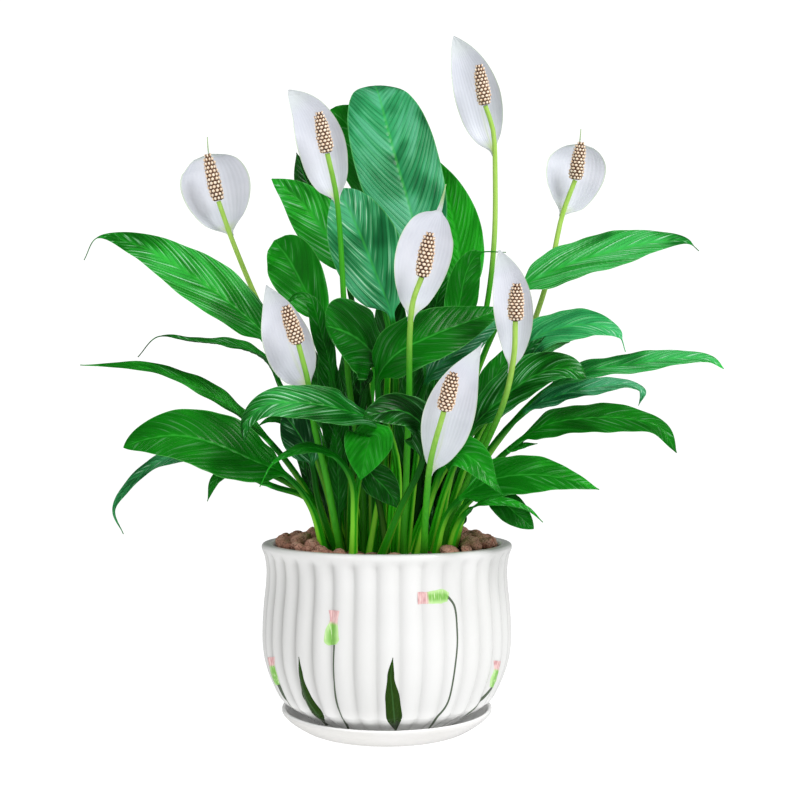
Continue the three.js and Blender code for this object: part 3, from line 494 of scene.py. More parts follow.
class GrowingLine:
    """A smooth line through given stops, measured along its length from 0 to 1."""

    def __init__(self, stops, mark):
        spots = [seen(stop) for stop in stops]
        spots = [spots[0] * 2 - spots[1], *spots, spots[-1] * 2 - spots[-2]]
        self.fine = []
        for i in range(1, len(spots) - 2):
            p0, p1, p2, p3 = spots[i - 1:i + 3]
            d0, d1, d2 = (max((b - a).length, 1e-6) ** 0.5 for a, b in ((p0, p1), (p1, p2), (p2, p3)))
            lean1 = ((p1 - p0) / d0 - (p2 - p0) / (d0 + d1) + (p2 - p1) / d1) * d1
            lean2 = ((p2 - p1) / d1 - (p3 - p1) / (d1 + d2) + (p3 - p2) / d2) * d1
            for k in range(LINE_STEPS):
                t = k / LINE_STEPS
                self.fine.append(
                    p1 + lean1 * t + (3 * (p2 - p1) - 2 * lean1 - lean2) * t**2
                    + (2 * (p1 - p2) + lean1 + lean2) * t**3
                )
        self.fine.append(spots[-2])
        self.lengths = [0.0]
        for a, b in zip(self.fine, self.fine[1:]):
            self.lengths.append(self.lengths[-1] + (b - a).length)
        self.total = self.lengths[-1]
        self.neck = self.lengths[LINE_STEPS * mark] / self.total

    def at(self, s):
        """The spot a share s of the way along."""
        target = min(max(s, 0.0), 1.0) * self.total
        i = min(max(bisect_left(self.lengths, target), 1), len(self.fine) - 1)
        part = (target - self.lengths[i - 1]) / (self.lengths[i] - self.lengths[i - 1])
        return self.fine[i - 1].lerp(self.fine[i], part)

    def along(self, s):
        """The way the line runs there."""
        return (self.at(min(s + 0.01, 1)) - self.at(max(s - 0.01, 0))).normalized()


def half_width(t, leaf):
    """Half the blade's width from its base at 0 to its tip at 1."""
    low, high = leaf["sharp"], leaf["blunt"]
    body = min(t / (1 - leaf["tail"]), 1)
    widest = low / (low + high)
    swell = (body / widest) ** low * max((1 - body) / (1 - widest), 0) ** high
    thread = leaf["thread"] and leaf["thread"] * min((1 - t) / leaf["tail"], 1)
    return max(leaf["width"] / 2 * swell, mix(1.9, 0.35, t), thread)


def blade_rings(leaf, quilted):
    """Loops of points across a leaf from its foot to its tip, and what its material reads at each."""
    leaf = {**PLAIN_LEAF, **leaf}
    line = GrowingLine(leaf["path"], leaf["neck"])
    blade_length = line.total * (1 - line.neck)
    spacing = leaf.get("spacing", SLIM_VEIN_SPACING if "slim" in leaf else VEIN_SPACING)
    sweep, fine, widest = leaf["sweep"], leaf["fine"], leaf["width"] / 2
    veins_crossed = sweep * 1.15 * leaf["width"] / 2 / spacing
    half_count = int(min(max(veins_crossed * COLUMNS_PER_VEIN, FEWEST_COLUMNS), MOST_COLUMNS) * fine)
    across = [j / half_count for j in range(-half_count, half_count + 1)]
    stalk_steps = STALK_STEPS if leaf["neck"] > 0 else 0
    blade_steps = int(min(max(blade_length / spacing * ROWS_PER_VEIN, FEWEST_ROWS), MOST_ROWS) * fine)
    stations = [line.neck * i / stalk_steps for i in range(stalk_steps)]
    stations += [mix(line.neck, 1, i / blade_steps) for i in range(blade_steps + 1)]

    # the way the blade faces, carried down the stalk so that it doesn't twist
    face_low, face_tip = Vector(leaf["face"]), Vector(leaf.get("faceTip", leaf["face"]))
    frames = []
    for s in stations:
        t = max((s - line.neck) / (1 - line.neck), 0)
        frames.append([s, t, line.at(s), line.along(s), face_low.lerp(face_tip, t), None])
    for i in reversed(range(len(frames))):
        wanted = frames[i + 1][4] if i < stalk_steps else frames[i][4]
        forward = frames[i][3]
        frames[i][4] = (wanted - forward * wanted.dot(forward)).normalized()
        frames[i][5] = forward.cross(frames[i][4])

    fold, droop = math.radians(leaf["fold"]), leaf["droop"]
    wave = leaf["wave"] * min(widest / 10, 1)
    quilt = leaf["quilt"] if quilted else 0.0
    rings, field, tones = [], [], []
    for i, (s, t, spot, forward, normal, side) in enumerate(frames):
        grown = 0 if i < stalk_steps else soft(t / 0.14)
        below = 1 - min(s / line.neck, 1) if stalk_steps else 0
        round_half = PETIOLE_RADIUS * (1 + SHEATH_SWELL * below**2)
        half = mix(round_half, half_width(t, leaf), grown)
        top, under, top_field, under_field = [], [], [], []
        for u in across:
            ripple = wave * u * u * math.sin(t * SLOW_RIPPLE + (1.3 if u > 0 else 4)) * (1 - t)
            turn = t * QUICK_RIPPLE + (2.1 if u > 0 else 0.4) + widest
            ripple += 0.4 * wave * u**4 * math.sin(turn) * (1 - t)
            off = abs(u) * half
            swept = sweep * off * (0.7 + 0.45 * off / widest)
            phase = (t * blade_length - swept) / spacing + (0.5 if u < 0 else 0)
            between = math.sin(math.pi * phase) ** 2
            relief = quilt * grown * (1 - abs(u) ** 5) * (between - 0.5) * min(half / 12, 1)
            rib = -RIB_DEPTH * grown * math.exp(-((u * half / 1.1) ** 2)) * (1 - t) * (1 if quilted else 0)
            lift = grown * (half * (abs(u) * math.sin(fold) - u * u * droop) + ripple) + relief
            edge = max(1 - abs(u) ** 6, 0)
            flat = mix(mix(BASE_THICK, TIP_THICK, t), SIDE_THICK, soft(abs(u) * 2.2)) * edge
            thick = mix(round_half * math.sqrt(max(1 - u * u, 0)), flat, grown)
            channel = 0
            if stalk_steps:
                channel = -CHANNEL_DEPTH * round_half * (1 - grown) * math.exp(-((u / 0.4) ** 2))
            middle = spot + side * (half * u * mix(1, math.cos(fold), grown))
            top.append((middle + normal * (lift + thick + rib + channel)) * MM)
            under.append((middle + normal * (lift - thick + rib * 0.4)) * MM)
            top_field.append((phase, u, 1.0))
            under_field.append((phase, u, 0.0))
        rings.append(top + under[-2:0:-1])
        field += top_field + under_field[-2:0:-1]
        tones += [(*leaf["tone"], t if i >= stalk_steps else -below)] * (len(top) + len(under) - 2)
    return rings, field, tones


def close_skin(points, faces, rings):
    """Adds loops of points as one closed skin."""
    start, count = len(points), len(rings[0])
    for ring in rings:
        points += ring
    for i in range(len(rings) - 1):
        faces += band(start + i * count, start + (i + 1) * count, count)
    faces.append(tuple(start + j for j in reversed(range(count))))
    last = start + (len(rings) - 1) * count
    faces.append(tuple(last + j for j in range(count)))


def grow(name, leaves, material, node=None, quilted=True):
    """Grows one or more leaves as one piece."""
    points, faces, field, tones = [], [], [], []
    for leaf in leaves:
        rings, leaf_field, leaf_tones = blade_rings(leaf, quilted)
        close_skin(points, faces, rings)
        field += leaf_field
        tones += leaf_tones
    piece = make_mesh(name, points, faces, 75)
    give_field(piece, "veins", field)
    give_field(piece, "tone", tones)
    settle(piece, material, node)


def grow_all(leaves):
    """Grows a table of leaves, by node, and notes where each one's foot stands."""
    for node, leaf in leaves.items():
        if isinstance(leaf, list):
            grow(node + "_blades", leaf, LEAF, node)
        else:
            grow(node + "_blade", [leaf], LEAF, node)
        first = leaf[0] if isinstance(leaf, list) else leaf
        FEET.append(tuple(seen(first["path"][0]))[:2])


def vein_pattern():
    """A shader group for a leaf's veins: grooves, swells, crests and fine lines, midrib and margin."""
    group, given, made = new_group("leaf_veins", ["Phase", "Across"], [
        "Groove", "Swell", "Crest", "Fine", "Panel", "Midrib", "Margin"])
    phase, across = given["Phase"], given["Across"]
    turn = times(phase, math.pi)
    swell = maths("ABSOLUTE", maths("SINE", turn))
    fine = maths("ABSOLUTE", maths("SINE", times(turn, 3.0)))
    off = maths("ABSOLUTE", across)
    clear = ramp(off, 0.03, 0.2)

    # each swell gets one or two strands of painted highlight on its crest, which come and go along it
    def streaks(along, sideways, layer):
        place = add_node(group, "CombineXYZ", {
            "X": times(phase, along), "Y": times(across, sideways), "Z": layer})
        noise = add_node(group, "TexNoise", {"Vector": place.outputs[0], "Scale": 1.0, "Detail": 1.0})
        return noise.outputs["Fac"]

    crest = times(ramp(swell, 0.45, 0.95), ramp(streaks(4.2, 1.5, 0.0), 0.50, 0.66))
    feed(made["Groove"], times(ramp(swell, 0.30, 0.0), clear))
    feed(made["Swell"], swell)
    feed(made["Crest"], times(crest, clear))
    feed(made["Fine"], times(ramp(fine, 0.5, 0.0), clear))
    feed(made["Panel"], ramp(streaks(0.45, 1.1, 3.7), 0.35, 0.65))
    feed(made["Midrib"], ramp(off, 0.05, 0.012))
    feed(made["Margin"], ramp(off, 0.955, 0.99))
    return group


VEINS = vein_pattern()


def leaf_skin():
    """Waxy leaf: deep green, with painted highlights and painted sheen between its side veins and painted
    shade in its grooves, duller underneath.
    """
    material, tree = new_material("waxy_leaf")
    phase, across, upper = read_field(tree, "veins")
    # a leaf's tone: its lightness, partly its own colour and partly painted shade, darkest deep in the crown;
    # the share of its painted highlights, sheen and groove shade, which also tints it teal; and where along
    # the leaf a spot is
    bright, painted_light_and_teal, along = read_field(tree, "tone")
    veins = add_node(tree, "Group", {"Phase": phase, "Across": across}, node_tree=VEINS).outputs
    grown = times(ramp(along, 0.03, 0.16), ramp(along, 1.0, 0.93))
    groove, swell, crest, fine = (
        times(veins[key], grown) for key in ("Groove", "Swell", "Crest", "Fine"))
    clouds = ramp(grain(tree, 20, 2.0), 0.38, 0.62)

    # how light each spot is: the leaf's tone, painted light on its swells and painted shade between them, and
    # broad panels and soft clouds that vary at random
    lit = bright
    patchy = ramp(painted_light_and_teal, 0.0, 0.6, 0.5, 1.0)
    for part, middle, weight in ((swell, 0.6, 0.12), (veins["Panel"], 0.5, 0.30), (clouds, 0.5, 0.42)):
        shift = times(maths("SUBTRACT", part, middle), weight, patchy)
        lit = maths("ADD", lit, shift)
    green = blend(ramp(lit, 0.0, 0.5), (0.0006, 0.022, 0.0006), (0.0022, 0.155, 0.0024))
    green = blend(ramp(lit, 0.45, 1.1), green, (0.020, 0.50, 0.016))
    teal = blend(ramp(lit, 0.0, 1.0), (0.002, 0.085, 0.025), (0.05, 0.46, 0.18))
    below = blend(ramp(lit, 0.0, 1.0), (0.0010, 0.030, 0.0010), (0.008, 0.22, 0.008))

    # painted highlights: bright strands on the swells' crests, in broad patches, and a painted cool sheen
    # over them
    patch = maths("ADD", times(clouds, 0.55), times(veins["Panel"], 0.55))
    painted_glints = times(crest, ramp(patch, 0.15, 0.9), ramp(painted_light_and_teal, 0.0, 0.7, 0.12, 1.0),
                   ramp(painted_light_and_teal, 0.88, 1.0, 1.0, 0.22))
    sheen = times(ramp(patch, 0.55, 1.1), ramp(painted_light_and_teal, 0.2, 1.0, 0.0, 0.35), grown)

    # painted shade in the grooves of the leaves with the most painted light, thin pale side veins on plain
    # ones, fine lines on all, then the painted highlight strands and sheen, the pale midrib and the pale
    # margin
    colour = layers(
        green,
        (ramp(painted_light_and_teal, 0.4, 1.0, 0.0, 0.85), teal),
        (times(groove, ramp(painted_light_and_teal, 0.0, 0.7, 0.15, 0.6)), (0.001, 0.060, 0.006)),
        (times(groove, ramp(painted_light_and_teal, 0.5, 0.0, 0.0, 0.34)), (0.010, 0.38, 0.014)),
        (times(fine, 0.22), (0.002, 0.090, 0.006)),
        (painted_glints, (0.42, 0.74, 0.50)),
        (sheen, (0.16, 0.42, 0.34)),
        (times(veins["Midrib"], 0.4), (0.05, 0.46, 0.05)),
        (times(veins["Margin"], 0.4), (0.14, 0.56, 0.12)),
    )
    colour = blend(upper, below, colour)

    # stalks: bright ribs at both edges, lighter near the soil, and nearly black in the crown as painted
    # shade, on the stalks of the dimmest leaves
    stalk = layers(
        (0.030, 0.46, 0.006),
        (ramp(maths("ABSOLUTE", across), 0.62, 0.95), (0.26, 0.74, 0.04)),
        (ramp(along, -0.75, -0.05), (0.004, 0.15, 0.004)),
        (ramp(bright, 0.42, 0.1, 0.0, 0.93), (0.001, 0.030, 0.001)),
    )
    colour = blend(ramp(along, 0.02, -0.02), colour, stalk)
    relief = maths("SUBTRACT", swell, fine)
    return finish(material, colour, ramp(upper, 0, 1, 0.55, 0.28), 0.12, relief, 0.00015)


LEAF = leaf_skin()
UP_FRONT = (0, -0.75, 0.66)
UP = (0, -0.35, 0.94)

# ---------------------------------------------------------------- the tall leaves at the top and back
# The broad blades that stand up behind the blooms. The tallest is seen almost flat, teal green, with
# its tip rolled back; the others lean to the left and the right of it.
tall_leaves = {
    "leaf_top": dict(
        path=[(8, 8), (16, 230, 14), (26, 335, 26), (20, 385, 34), (9, 425, 42), (-1, 462, 52),
              (-6, 481, 64), (-9, 489, 80)],
        width=70, blunt=0.52, face=(0.1, -1, 0.15), faceTip=(0.05, -0.8, 0.6), fold=10, droop=0.1,
        tone=(0.53, 1.0), quilt=0.35, sweep=1.5, spacing=6.5),
    "leaf_top_right": dict(
        path=[(16, 18), (38, 240, 36), (57, 325, 52), (54.5, 368, 62), (46, 406, 72), (34, 437, 84)],
        width=44, face=(-0.25, -1, 0.1), fold=12, tone=(0.86, 0.15)),
    "leaf_upper_left": dict(
        path=[(-4, -6), (0, 250, -8), (-2, 320, 0), (-22, 346, 4), (-46, 377, 4), (-68, 403, 0),
              (-88, 418, -6)],
        neck=3, width=40, blunt=0.9, face=(-0.35, -0.9, 0.3), fold=16, tone=(0.8, 0.45)),
    "leaf_upper_mid": dict(
        path=[(1, -18), (7, 250, -24), (4, 312, -22), (-8, 345, -26), (-20, 375, -28), (-31, 399, -24),
              (-39, 410, -18)],
        width=54, blunt=0.75, face=(-0.2, -1, 0.3), fold=12, tone=(0.52, 0.85)),
    "leaf_right_upright": dict(
        path=[(22, 2), (38, 230, 8), (48, 290, 8), (55, 322, 4), (61, 348, 0), (70, 361, -2), (91, 362, -4)],
        width=28, blunt=0.6, tail=0.2, face=(0.2, -1, 0.1), fold=24, tone=(0.55, 0.1)),
    "leaf_left_round": dict(
        path=[(-17, -12), (-38, 240, -20), (-49, 308, -22), (-63, 335, -26), (-75, 357, -30),
              (-86, 371, -40)],
        width=41, blunt=0.42, face=(-0.2, -0.9, 0.3), fold=18, tone=(0.55, 0.15), sweep=1.8),
}
grow_all(tall_leaves)

# ---------------------------------------------------------------- the long leaves at the sides
# Narrower blades that arch out from the crown to both sides and hang at the tip. Several of them end in
# a thread-like point, and the ones on the right are the brightest.
side_leaves = {
    "leaf_left_high": dict(
        path=[(-26, -4), (-52, 220, -8), (-86, 290, -14), (-116, 320, -20), (-152, 346, -22),
              (-190, 367, -20), (-221, 373, -16), (-231, 356, -12)],
        width=46, tail=0.1, face=(0.2, -0.85, 0.55), fold=16, tone=(0.6, 0.45), sweep=2.8),
    "leaf_left_thin_high": dict(
        path=[(-31, -16), (-54, 205, -20), (-80, 258, -36), (-94, 281, -44), (-118, 290.5, -50),
              (-150, 294.5, -54), (-175, 297.5, -56), (-190, 282, -58)],
        width=22, tail=0.16, face=UP, fold=20, slim=True, tone=(0.34, 0.25)),
    "leaf_left_mid": dict(
        path=[(-39, -12), (-60, 178, -18), (-88, 216, -26), (-120, 244, -34), (-150, 262, -40),
              (-182, 273, -44), (-234, 276, -48)],
        width=22, face=(0.1, -0.5, 0.87), fold=20, slim=True, tone=(0.74, 0.3), sweep=3.0, quilt=0.3),
    "leaf_left_broad": dict(
        path=[(-46, -38), (-58, 168, -48), (-76, 191, -58), (-102, 203, -66), (-132, 216, -74),
              (-160, 222, -80), (-184, 219, -84), (-201, 213, -88)],
        width=52, blunt=0.75, face=(-0.1, -0.78, 0.62), fold=12, tone=(0.44, 0.0), sweep=1.8),
    "leaf_right_high": dict(
        path=[(31, 8), (58, 240, 0), (98, 329, -8), (128, 347.5, -14), (168, 361, -18), (206, 369.5, -20),
              (229, 370, -22), (238, 363, -24)],
        width=52, blunt=0.9, face=(0, -0.62, 0.78), tail=0.04, tone=(0.68, 0.55), sweep=3.0),
    "leaf_right_second": dict(
        path=[(37, -6), (66, 215, -14), (101, 277, -24), (114, 296, -32), (138, 305, -38), (160, 306, -42),
              (177, 299, -44), (182, 286, -44)],
        width=40, blunt=0.8, face=(0, -0.66, 0.75), fold=12, tail=0.1, tone=(0.88, 0.78), sweep=2.8),
    "leaf_right_curled": dict(
        path=[(30, -32), (46, 185, -40), (66, 228, -52), (88, 250, -60), (114, 268, -68), (136, 273, -72),
              (152, 266, -72)],
        width=38, blunt=0.7, face=(0, -0.75, 0.65), fold=22, tone=(0.4, 0.45), sweep=2.6),
    "leaf_right_long": dict(
        path=[(44, -12), (70, 196, -14), (118, 254, -16), (150, 270, -20), (186, 276, -24), (224, 281, -28),
              (247, 280, -30), (257, 273, -32)],
        width=27, blunt=0.8, face=(0, -0.6, 0.8), tone=(0.7, 0.6), sweep=3.0),
    "leaf_right_low": dict(
        path=[(37, -20), (74, 205, -32), (105, 240, -36), (130, 252, -40), (160, 259, -44), (184, 261, -46),
              (195, 256, -48), (192, 245, -48)],
        width=22, face=(0, -0.6, 0.8), slim=True, tone=(0.46, 0.8), sweep=3.0),
    "leaf_right_lowest": dict(
        path=[(36, -50), (44, 158, -58), (56, 174, -66), (84, 189, -78), (114, 192, -84), (140, 188, -88),
              (162, 181, -90)],
        width=39, face=(0, -0.7, 0.7), fold=10, tone=(0.62, 0.2)),
}
grow_all(side_leaves)

# ---------------------------------------------------------------- the leaves in front
# Dark, short-stalked blades that fold over the crown towards the front, and the heart-shaped one that
# faces the camera in the middle.
front_leaves = {
    "leaf_front_arch": dict(
        path=[(-14, -42), (-4, 190, -44), (-4, 226, -60), (-35, 242, -92), (-66, 247, -104),
              (-92, 245, -110), (-106, 233, -112), (-109, 216, -112)],
        width=30, blunt=0.9, face=UP_FRONT, faceTip=(-0.5, -0.8, 0.2), tone=(0.44, 0.5), sweep=3.0),
    "leaf_front_dark": dict(
        path=[(-7, -60), (10, 166, -74), (27, 203, -90), (26, 230, -102), (10, 241, -114), (-6, 239, -122),
              (-18, 236, -128)],
        width=34, blunt=0.8, face=(0, -0.8, 0.6), fold=10, tone=(0.24, 0.3)),
    "leaf_heart": dict(
        path=[(-10, -28), (-11, 210, -40), (-6, 274, -52), (-16, 290, -66), (-30, 300, -80),
              (-47, 306, -94)],
        width=64, blunt=0.6, face=(0.2, -0.85, 0.5), fold=8, tone=(0.22, 0.0), sweep=1.6),
    "leaf_mid_right": dict(
        path=[(6, -36), (8, 200, -46), (-7, 262, -70), (6, 283, -78), (34, 298, -76), (62, 309, -66),
              (92, 320, -54)],
        width=44, face=(-0.1, -0.9, 0.45), tone=(0.38, 0.05), sweep=1.8),
    "leaf_front_fold": dict(
        path=[(20, -44), (34, 175, -62), (44, 200, -86), (56, 208, -98), (67, 203, -104), (79, 188, -108),
              (92, 172, -110)],
        width=30, blunt=1.9, face=(-0.1, -0.8, 0.6), fold=20, tone=(0.56, 0.05), sweep=2.0),
}
grow_all(front_leaves)

# ---------------------------------------------------------------- tufts of small leaves
# Young and half hidden leaves, most of them two or three together in one sheath at the soil: low at the
# sides and in front, dark in the middle, and arching at the back.
tufts = {
    "leaf_right_dark": [
        dict(path=[(48, -28), (66, 182, -44), (100, 217, -58), (122, 230, -68), (150, 235, -74),
            (182, 235, -78), (208, 228, -80), (221, 209, -82)],
            width=34, blunt=0.9, face=(0, -0.62, 0.78), fold=8, tone=(0.38, 0.12)),
        dict(path=[(92, 210, -55.5), (98, 212.5, -57), (106, 215, -59), (115, 216, -60)],
            neck=0, width=6, face=UP_FRONT, fold=10, slim=True, tone=(0.62, 0.1)),
    ],
    "tuft_back_left": [
        dict(path=[(0, 22), (2, 250, 44), (4, 380, 66), (-10, 425, 72), (-27, 456, 74), (-43, 471, 72)],
            width=50, blunt=0.6, face=(-0.3, -1, 0.1), fold=12, tone=(0.55, 0.0)),
        dict(path=[(0, 22), (-14, 250, 34), (-38, 372, 36), (-52, 400, 36), (-63, 420, 34), (-69, 438, 32)],
            width=30, face=(0, -1, 0.1), slim=True, tone=(0.15, 0.0)),
    ],
    "tuft_left_low": [
        dict(path=[(-43, -22), (-58, 172, -28), (-96, 196, -34), (-138, 208, -40), (-174, 202, -46),
            (-198, 182, -50), (-208, 165, -52), (-201, 147, -54)],
            width=17, face=(0, -0.5, 0.87), faceTip=(-0.8, -0.6, 0), fold=16, slim=True, tone=(0.62, 0.75)),
        dict(path=[(-43, -22), (-58, 172, -32), (-88, 184, -44), (-114, 196, -48), (-130, 189, -50),
            (-137, 172, -50)],
            width=14, face=(0, -0.7, 0.7), slim=True, tone=(0.6, 0.2)),
    ],
    "tuft_left_inner": [
        dict(path=[(-36, -30), (-52, 172, -38), (-57, 200, -46), (-63, 216, -54), (-71, 229, -58),
            (-79, 239, -60)],
            width=28, blunt=0.7, face=(-0.1, -1, 0.2), fold=12, slim=True, tone=(0.26, 0.6)),
        dict(path=[(-36, -30), (-45, 180, -36), (-60, 222, -42), (-78, 233, -46), (-90, 234, -48),
            (-99, 229, -50)],
            width=9, face=UP_FRONT, slim=True, tone=(0.45, 0.1)),
        dict(path=[(-36, -30), (-37, 160, -33), (-37, 180, -35), (-38, 206, -36), (-40, 232, -38)],
            neck=1, width=17, face=(0.1, -1, 0), fold=18, slim=True, tone=(0.3, 0.1)),
    ],
    "tuft_left_arch": [
        dict(path=[(-28, -24), (-31, 200, -24), (-41, 264, -38), (-50, 300, -50), (-58, 324, -58),
            (-68, 329, -60), (-78, 321, -62)],
            width=15, face=(0, -0.9, 0.5), slim=True, tone=(0.36, 0.1)),
        dict(path=[(-28, -24), (-26, 200, -44), (-16, 260, -50), (-18, 269, -57), (-20, 262, -62),
            (-20, 252, -62)],
            width=14, face=(0, -1, 0.2), slim=True, tone=(0.22, 0.2)),
        dict(path=[(-28, -24), (-32, 180, -25), (-38, 220, -29), (-44, 262, -35), (-48, 302, -41)],
            neck=1, width=21, blunt=0.8, face=(0.1, -1, 0), fold=18, slim=True, tone=(0.3, 0.1)),
    ],
    "tuft_front_left": [
        dict(path=[(-26, -56), (-25, 160, -62), (-27, 188, -70), (-38, 205, -78), (-58, 213, -88),
            (-76, 208, -96), (-88, 200, -100), (-97, 183, -102)],
            neck=3, width=10, tail=0.2, face=UP_FRONT, fold=10, slim=True, tone=(0.55, 0.1)),
        dict(path=[(-26, -56), (-23, 180, -63), (-14, 215, -66), (-13, 220, -77), (-17, 205, -86),
            (-20, 188, -90)],
            width=36, face=(0, -0.95, 0.3), fold=20, tone=(0.78, 0.0)),
    ],
    "tuft_centre_dark": [
        dict(path=[(0, -46), (-6, 170, -50), (-16, 200, -53), (-12, 193, -57), (-1, 182, -60),
            (10, 166, -60)],
            width=24, face=(-0.2, -1, 0.2), fold=12, slim=True, tone=(0.15, 0.0)),
    ],
    "tuft_mid_right": [
        dict(path=[(14, -18), (22, 200, -28), (30, 262, -38), (50, 283, -42), (70, 299, -40),
            (90, 313, -36)],
            width=26, face=(-0.2, -0.9, 0.4), slim=True, tone=(0.3, 0.7)),
        dict(path=[(14, -18), (46, 200, -18), (86, 248, -26), (97, 268, -36), (107, 286, -44),
            (121, 298, -48)],
            width=20, face=(-0.3, -0.8, 0.5), slim=True, tone=(0.38, 0.6)),
        dict(path=[(14, -18), (16, 190, -24), (19, 240, -28), (22, 294, -30)],
            neck=1, width=26, face=(0.1, -1, 0), fold=18, slim=True, tone=(0.18, 0.1)),
    ],
    "tuft_right_front": [
        dict(path=[(46, -42), (56, 164, -52), (76, 180, -62), (88, 172, -70), (99, 162, -74),
            (112, 151, -78)],
            width=21, blunt=0.8, face=(-0.1, -1, 0.3), fold=10, slim=True, tone=(0.36, 0.0)),
        dict(path=[(46, -42), (53, 152, -64), (62, 165, -88), (74, 171, -110), (92, 171.5, -120),
            (108, 166, -122), (119, 156, -122)],
            width=8, face=UP_FRONT, fold=10, slim=True, tone=(0.6, 0.2)),
    ],
    "tuft_back_middle": [
        dict(path=[(8, 36), (10, 260, 60), (12, 352, 84), (12, 386, 106), (8, 398, 134), (4, 386, 162)],
            width=54, face=(0, 0.5, 0.87), faceTip=(0, 0.9, 0.4), fold=12, tone=(0.5, 0.4)),
        dict(path=[(8, 36), (6, 180, 56), (2, 228, 94), (-4, 242, 126), (-8, 234, 156), (-12, 210, 176)],
            width=46, face=(0, 0.4, 0.9), faceTip=(0, 0.95, 0.2), fold=12, tone=(0.45, 0.2)),
    ],
    "tuft_back_left_side": [
        dict(path=[(-16, 24), (-12, 250, 52), (-6, 334, 76), (-20, 366, 98), (-34, 380, 124),
            (-44, 374, 152)],
            width=42, face=(-0.2, 0.5, 0.87), faceTip=(-0.3, 0.9, 0.4), fold=12, tone=(0.55, 0.1)),
        dict(path=[(-16, 24), (-44, 200, 46), (-66, 266, 76), (-86, 296, 100), (-110, 314, 122),
            (-132, 322, 140)],
            width=46, face=(-0.3, 0.3, 0.9), fold=12, tone=(0.45, 0.6)),
    ],
    "tuft_back_right_side": [
        dict(path=[(28, 26), (40, 230, 56), (48, 298, 84), (50, 322, 108), (50, 330, 136), (48, 316, 164)],
            width=42, face=(0.2, 0.5, 0.87), faceTip=(0.2, 0.9, 0.4), fold=12, tone=(0.5, 0.2)),
        dict(path=[(28, 26), (62, 205, 44), (94, 262, 68), (116, 287, 92), (132, 298, 118), (146, 299, 142)],
            width=46, face=(0.3, 0.3, 0.9), fold=12, tone=(0.5, 0.5)),
    ],
}
grow_all(tufts)

# ---------------------------------------------------------------- young leaves in the crown
# The heart of the plant: young leaves, still rolled and narrow, and bare stalks that stand close together
# between the large ones, dark with painted shade through their low tones. They grow from the same crown and
# are folded along their ribs.
CROWN_SHOOTS = 46
CROWN_HALF = 50
shoots = []
chance = random.Random(12)
for i in range(CROWN_SHOOTS):
    x = CROWN_HALF * (2 * (i + chance.uniform(0.2, 0.8)) / CROWN_SHOOTS - 1)
    depth = chance.uniform(-16, 30)
    tall = chance.uniform(50, 165) * (1 - 0.35 * abs(x) / CROWN_HALF)
    lean = x * 0.009 * tall / 2 + chance.uniform(-7, 7)
    shoots.append(dict(
        path=[(x, depth), (x + lean * 0.25, FOOT_Z + tall * 0.45, depth + 2),
              (x + lean * 0.6, FOOT_Z + tall * 0.8, depth + 4), (x + lean, FOOT_Z + tall, depth + 8)],
        neck=1, width=chance.uniform(9, 22), face=(chance.uniform(-0.6, 0.6), -1, 0.1), fold=24, slim=True,
        fine=0.7, tone=(chance.uniform(0.02, 0.30), chance.uniform(0, 0.3))))

# a few taller ones, listed one by one where the others leave the middle bare
for path, width, bright in (
    ([(36, -30), (50, 196, -40), (66, 236, -46), (80, 262, -48), (90, 280, -46), (98, 296, -42)], 23, 0.42),
    ([(2, 10), (3, 200, 12), (3, 286, 14), (3, 315, 16), (2, 342, 18)], 27, 0.22),
    ([(22, 4), (28, 180, 6), (31, 216, 8), (35, 250, 8), (38, 278, 10), (42, 300, 12)], 30, 0.32),
    ([(-14, 14), (-20, 180, 18), (-24, 228, 20), (-27, 262, 20), (-30, 300, 20)], 23, 0.20),
    ([(-30, 0), (-40, 180, 4), (-47, 224, 6), (-52, 262, 8), (-58, 294, 8)], 19, 0.24),
    ([(14, 22), (24, 200, 26), (31, 284, 28), (37, 320, 30), (45, 352, 32)], 27, 0.34),
):
    shoots.append(dict(
        path=path, width=width, face=(-0.2, -0.9, 0.3), fold=16, slim=True, fine=0.7, tone=(bright, 0.15)))
grow("crown_shoots", shoots, LEAF)

# ---------------------------------------------------------------- blooms
# Each bloom is a white hood-shaped spathe behind a spike of bead-like florets, on a smooth round stem.
# The spathe springs from the stem just under the spike and draws out to a fine green point.
BLOOM_STEM_RADIUS = 2.2
STEM_AROUND, STEM_STEPS = 14, 36
PALE_FADE = 70
SPADIX_RADIUS = 5.4
CLEARANCE = 0.3
CORE_STEPS = 16
FLORET_ROWS, FLORETS_ROUND, FLORETS_AT_TIP = 12, 10, 6
FLORET_SIDES = 6
FLORET_RISE = 1.5
FLORET_BROAD, FLORET_TALL = 0.43, 0.47
CORE_SHARE, FLORET_SEAT = 0.86, 0.80
FLORET_LEVELS = ((1.0, 0.0), (0.98, 0.45), (0.72, 0.85))

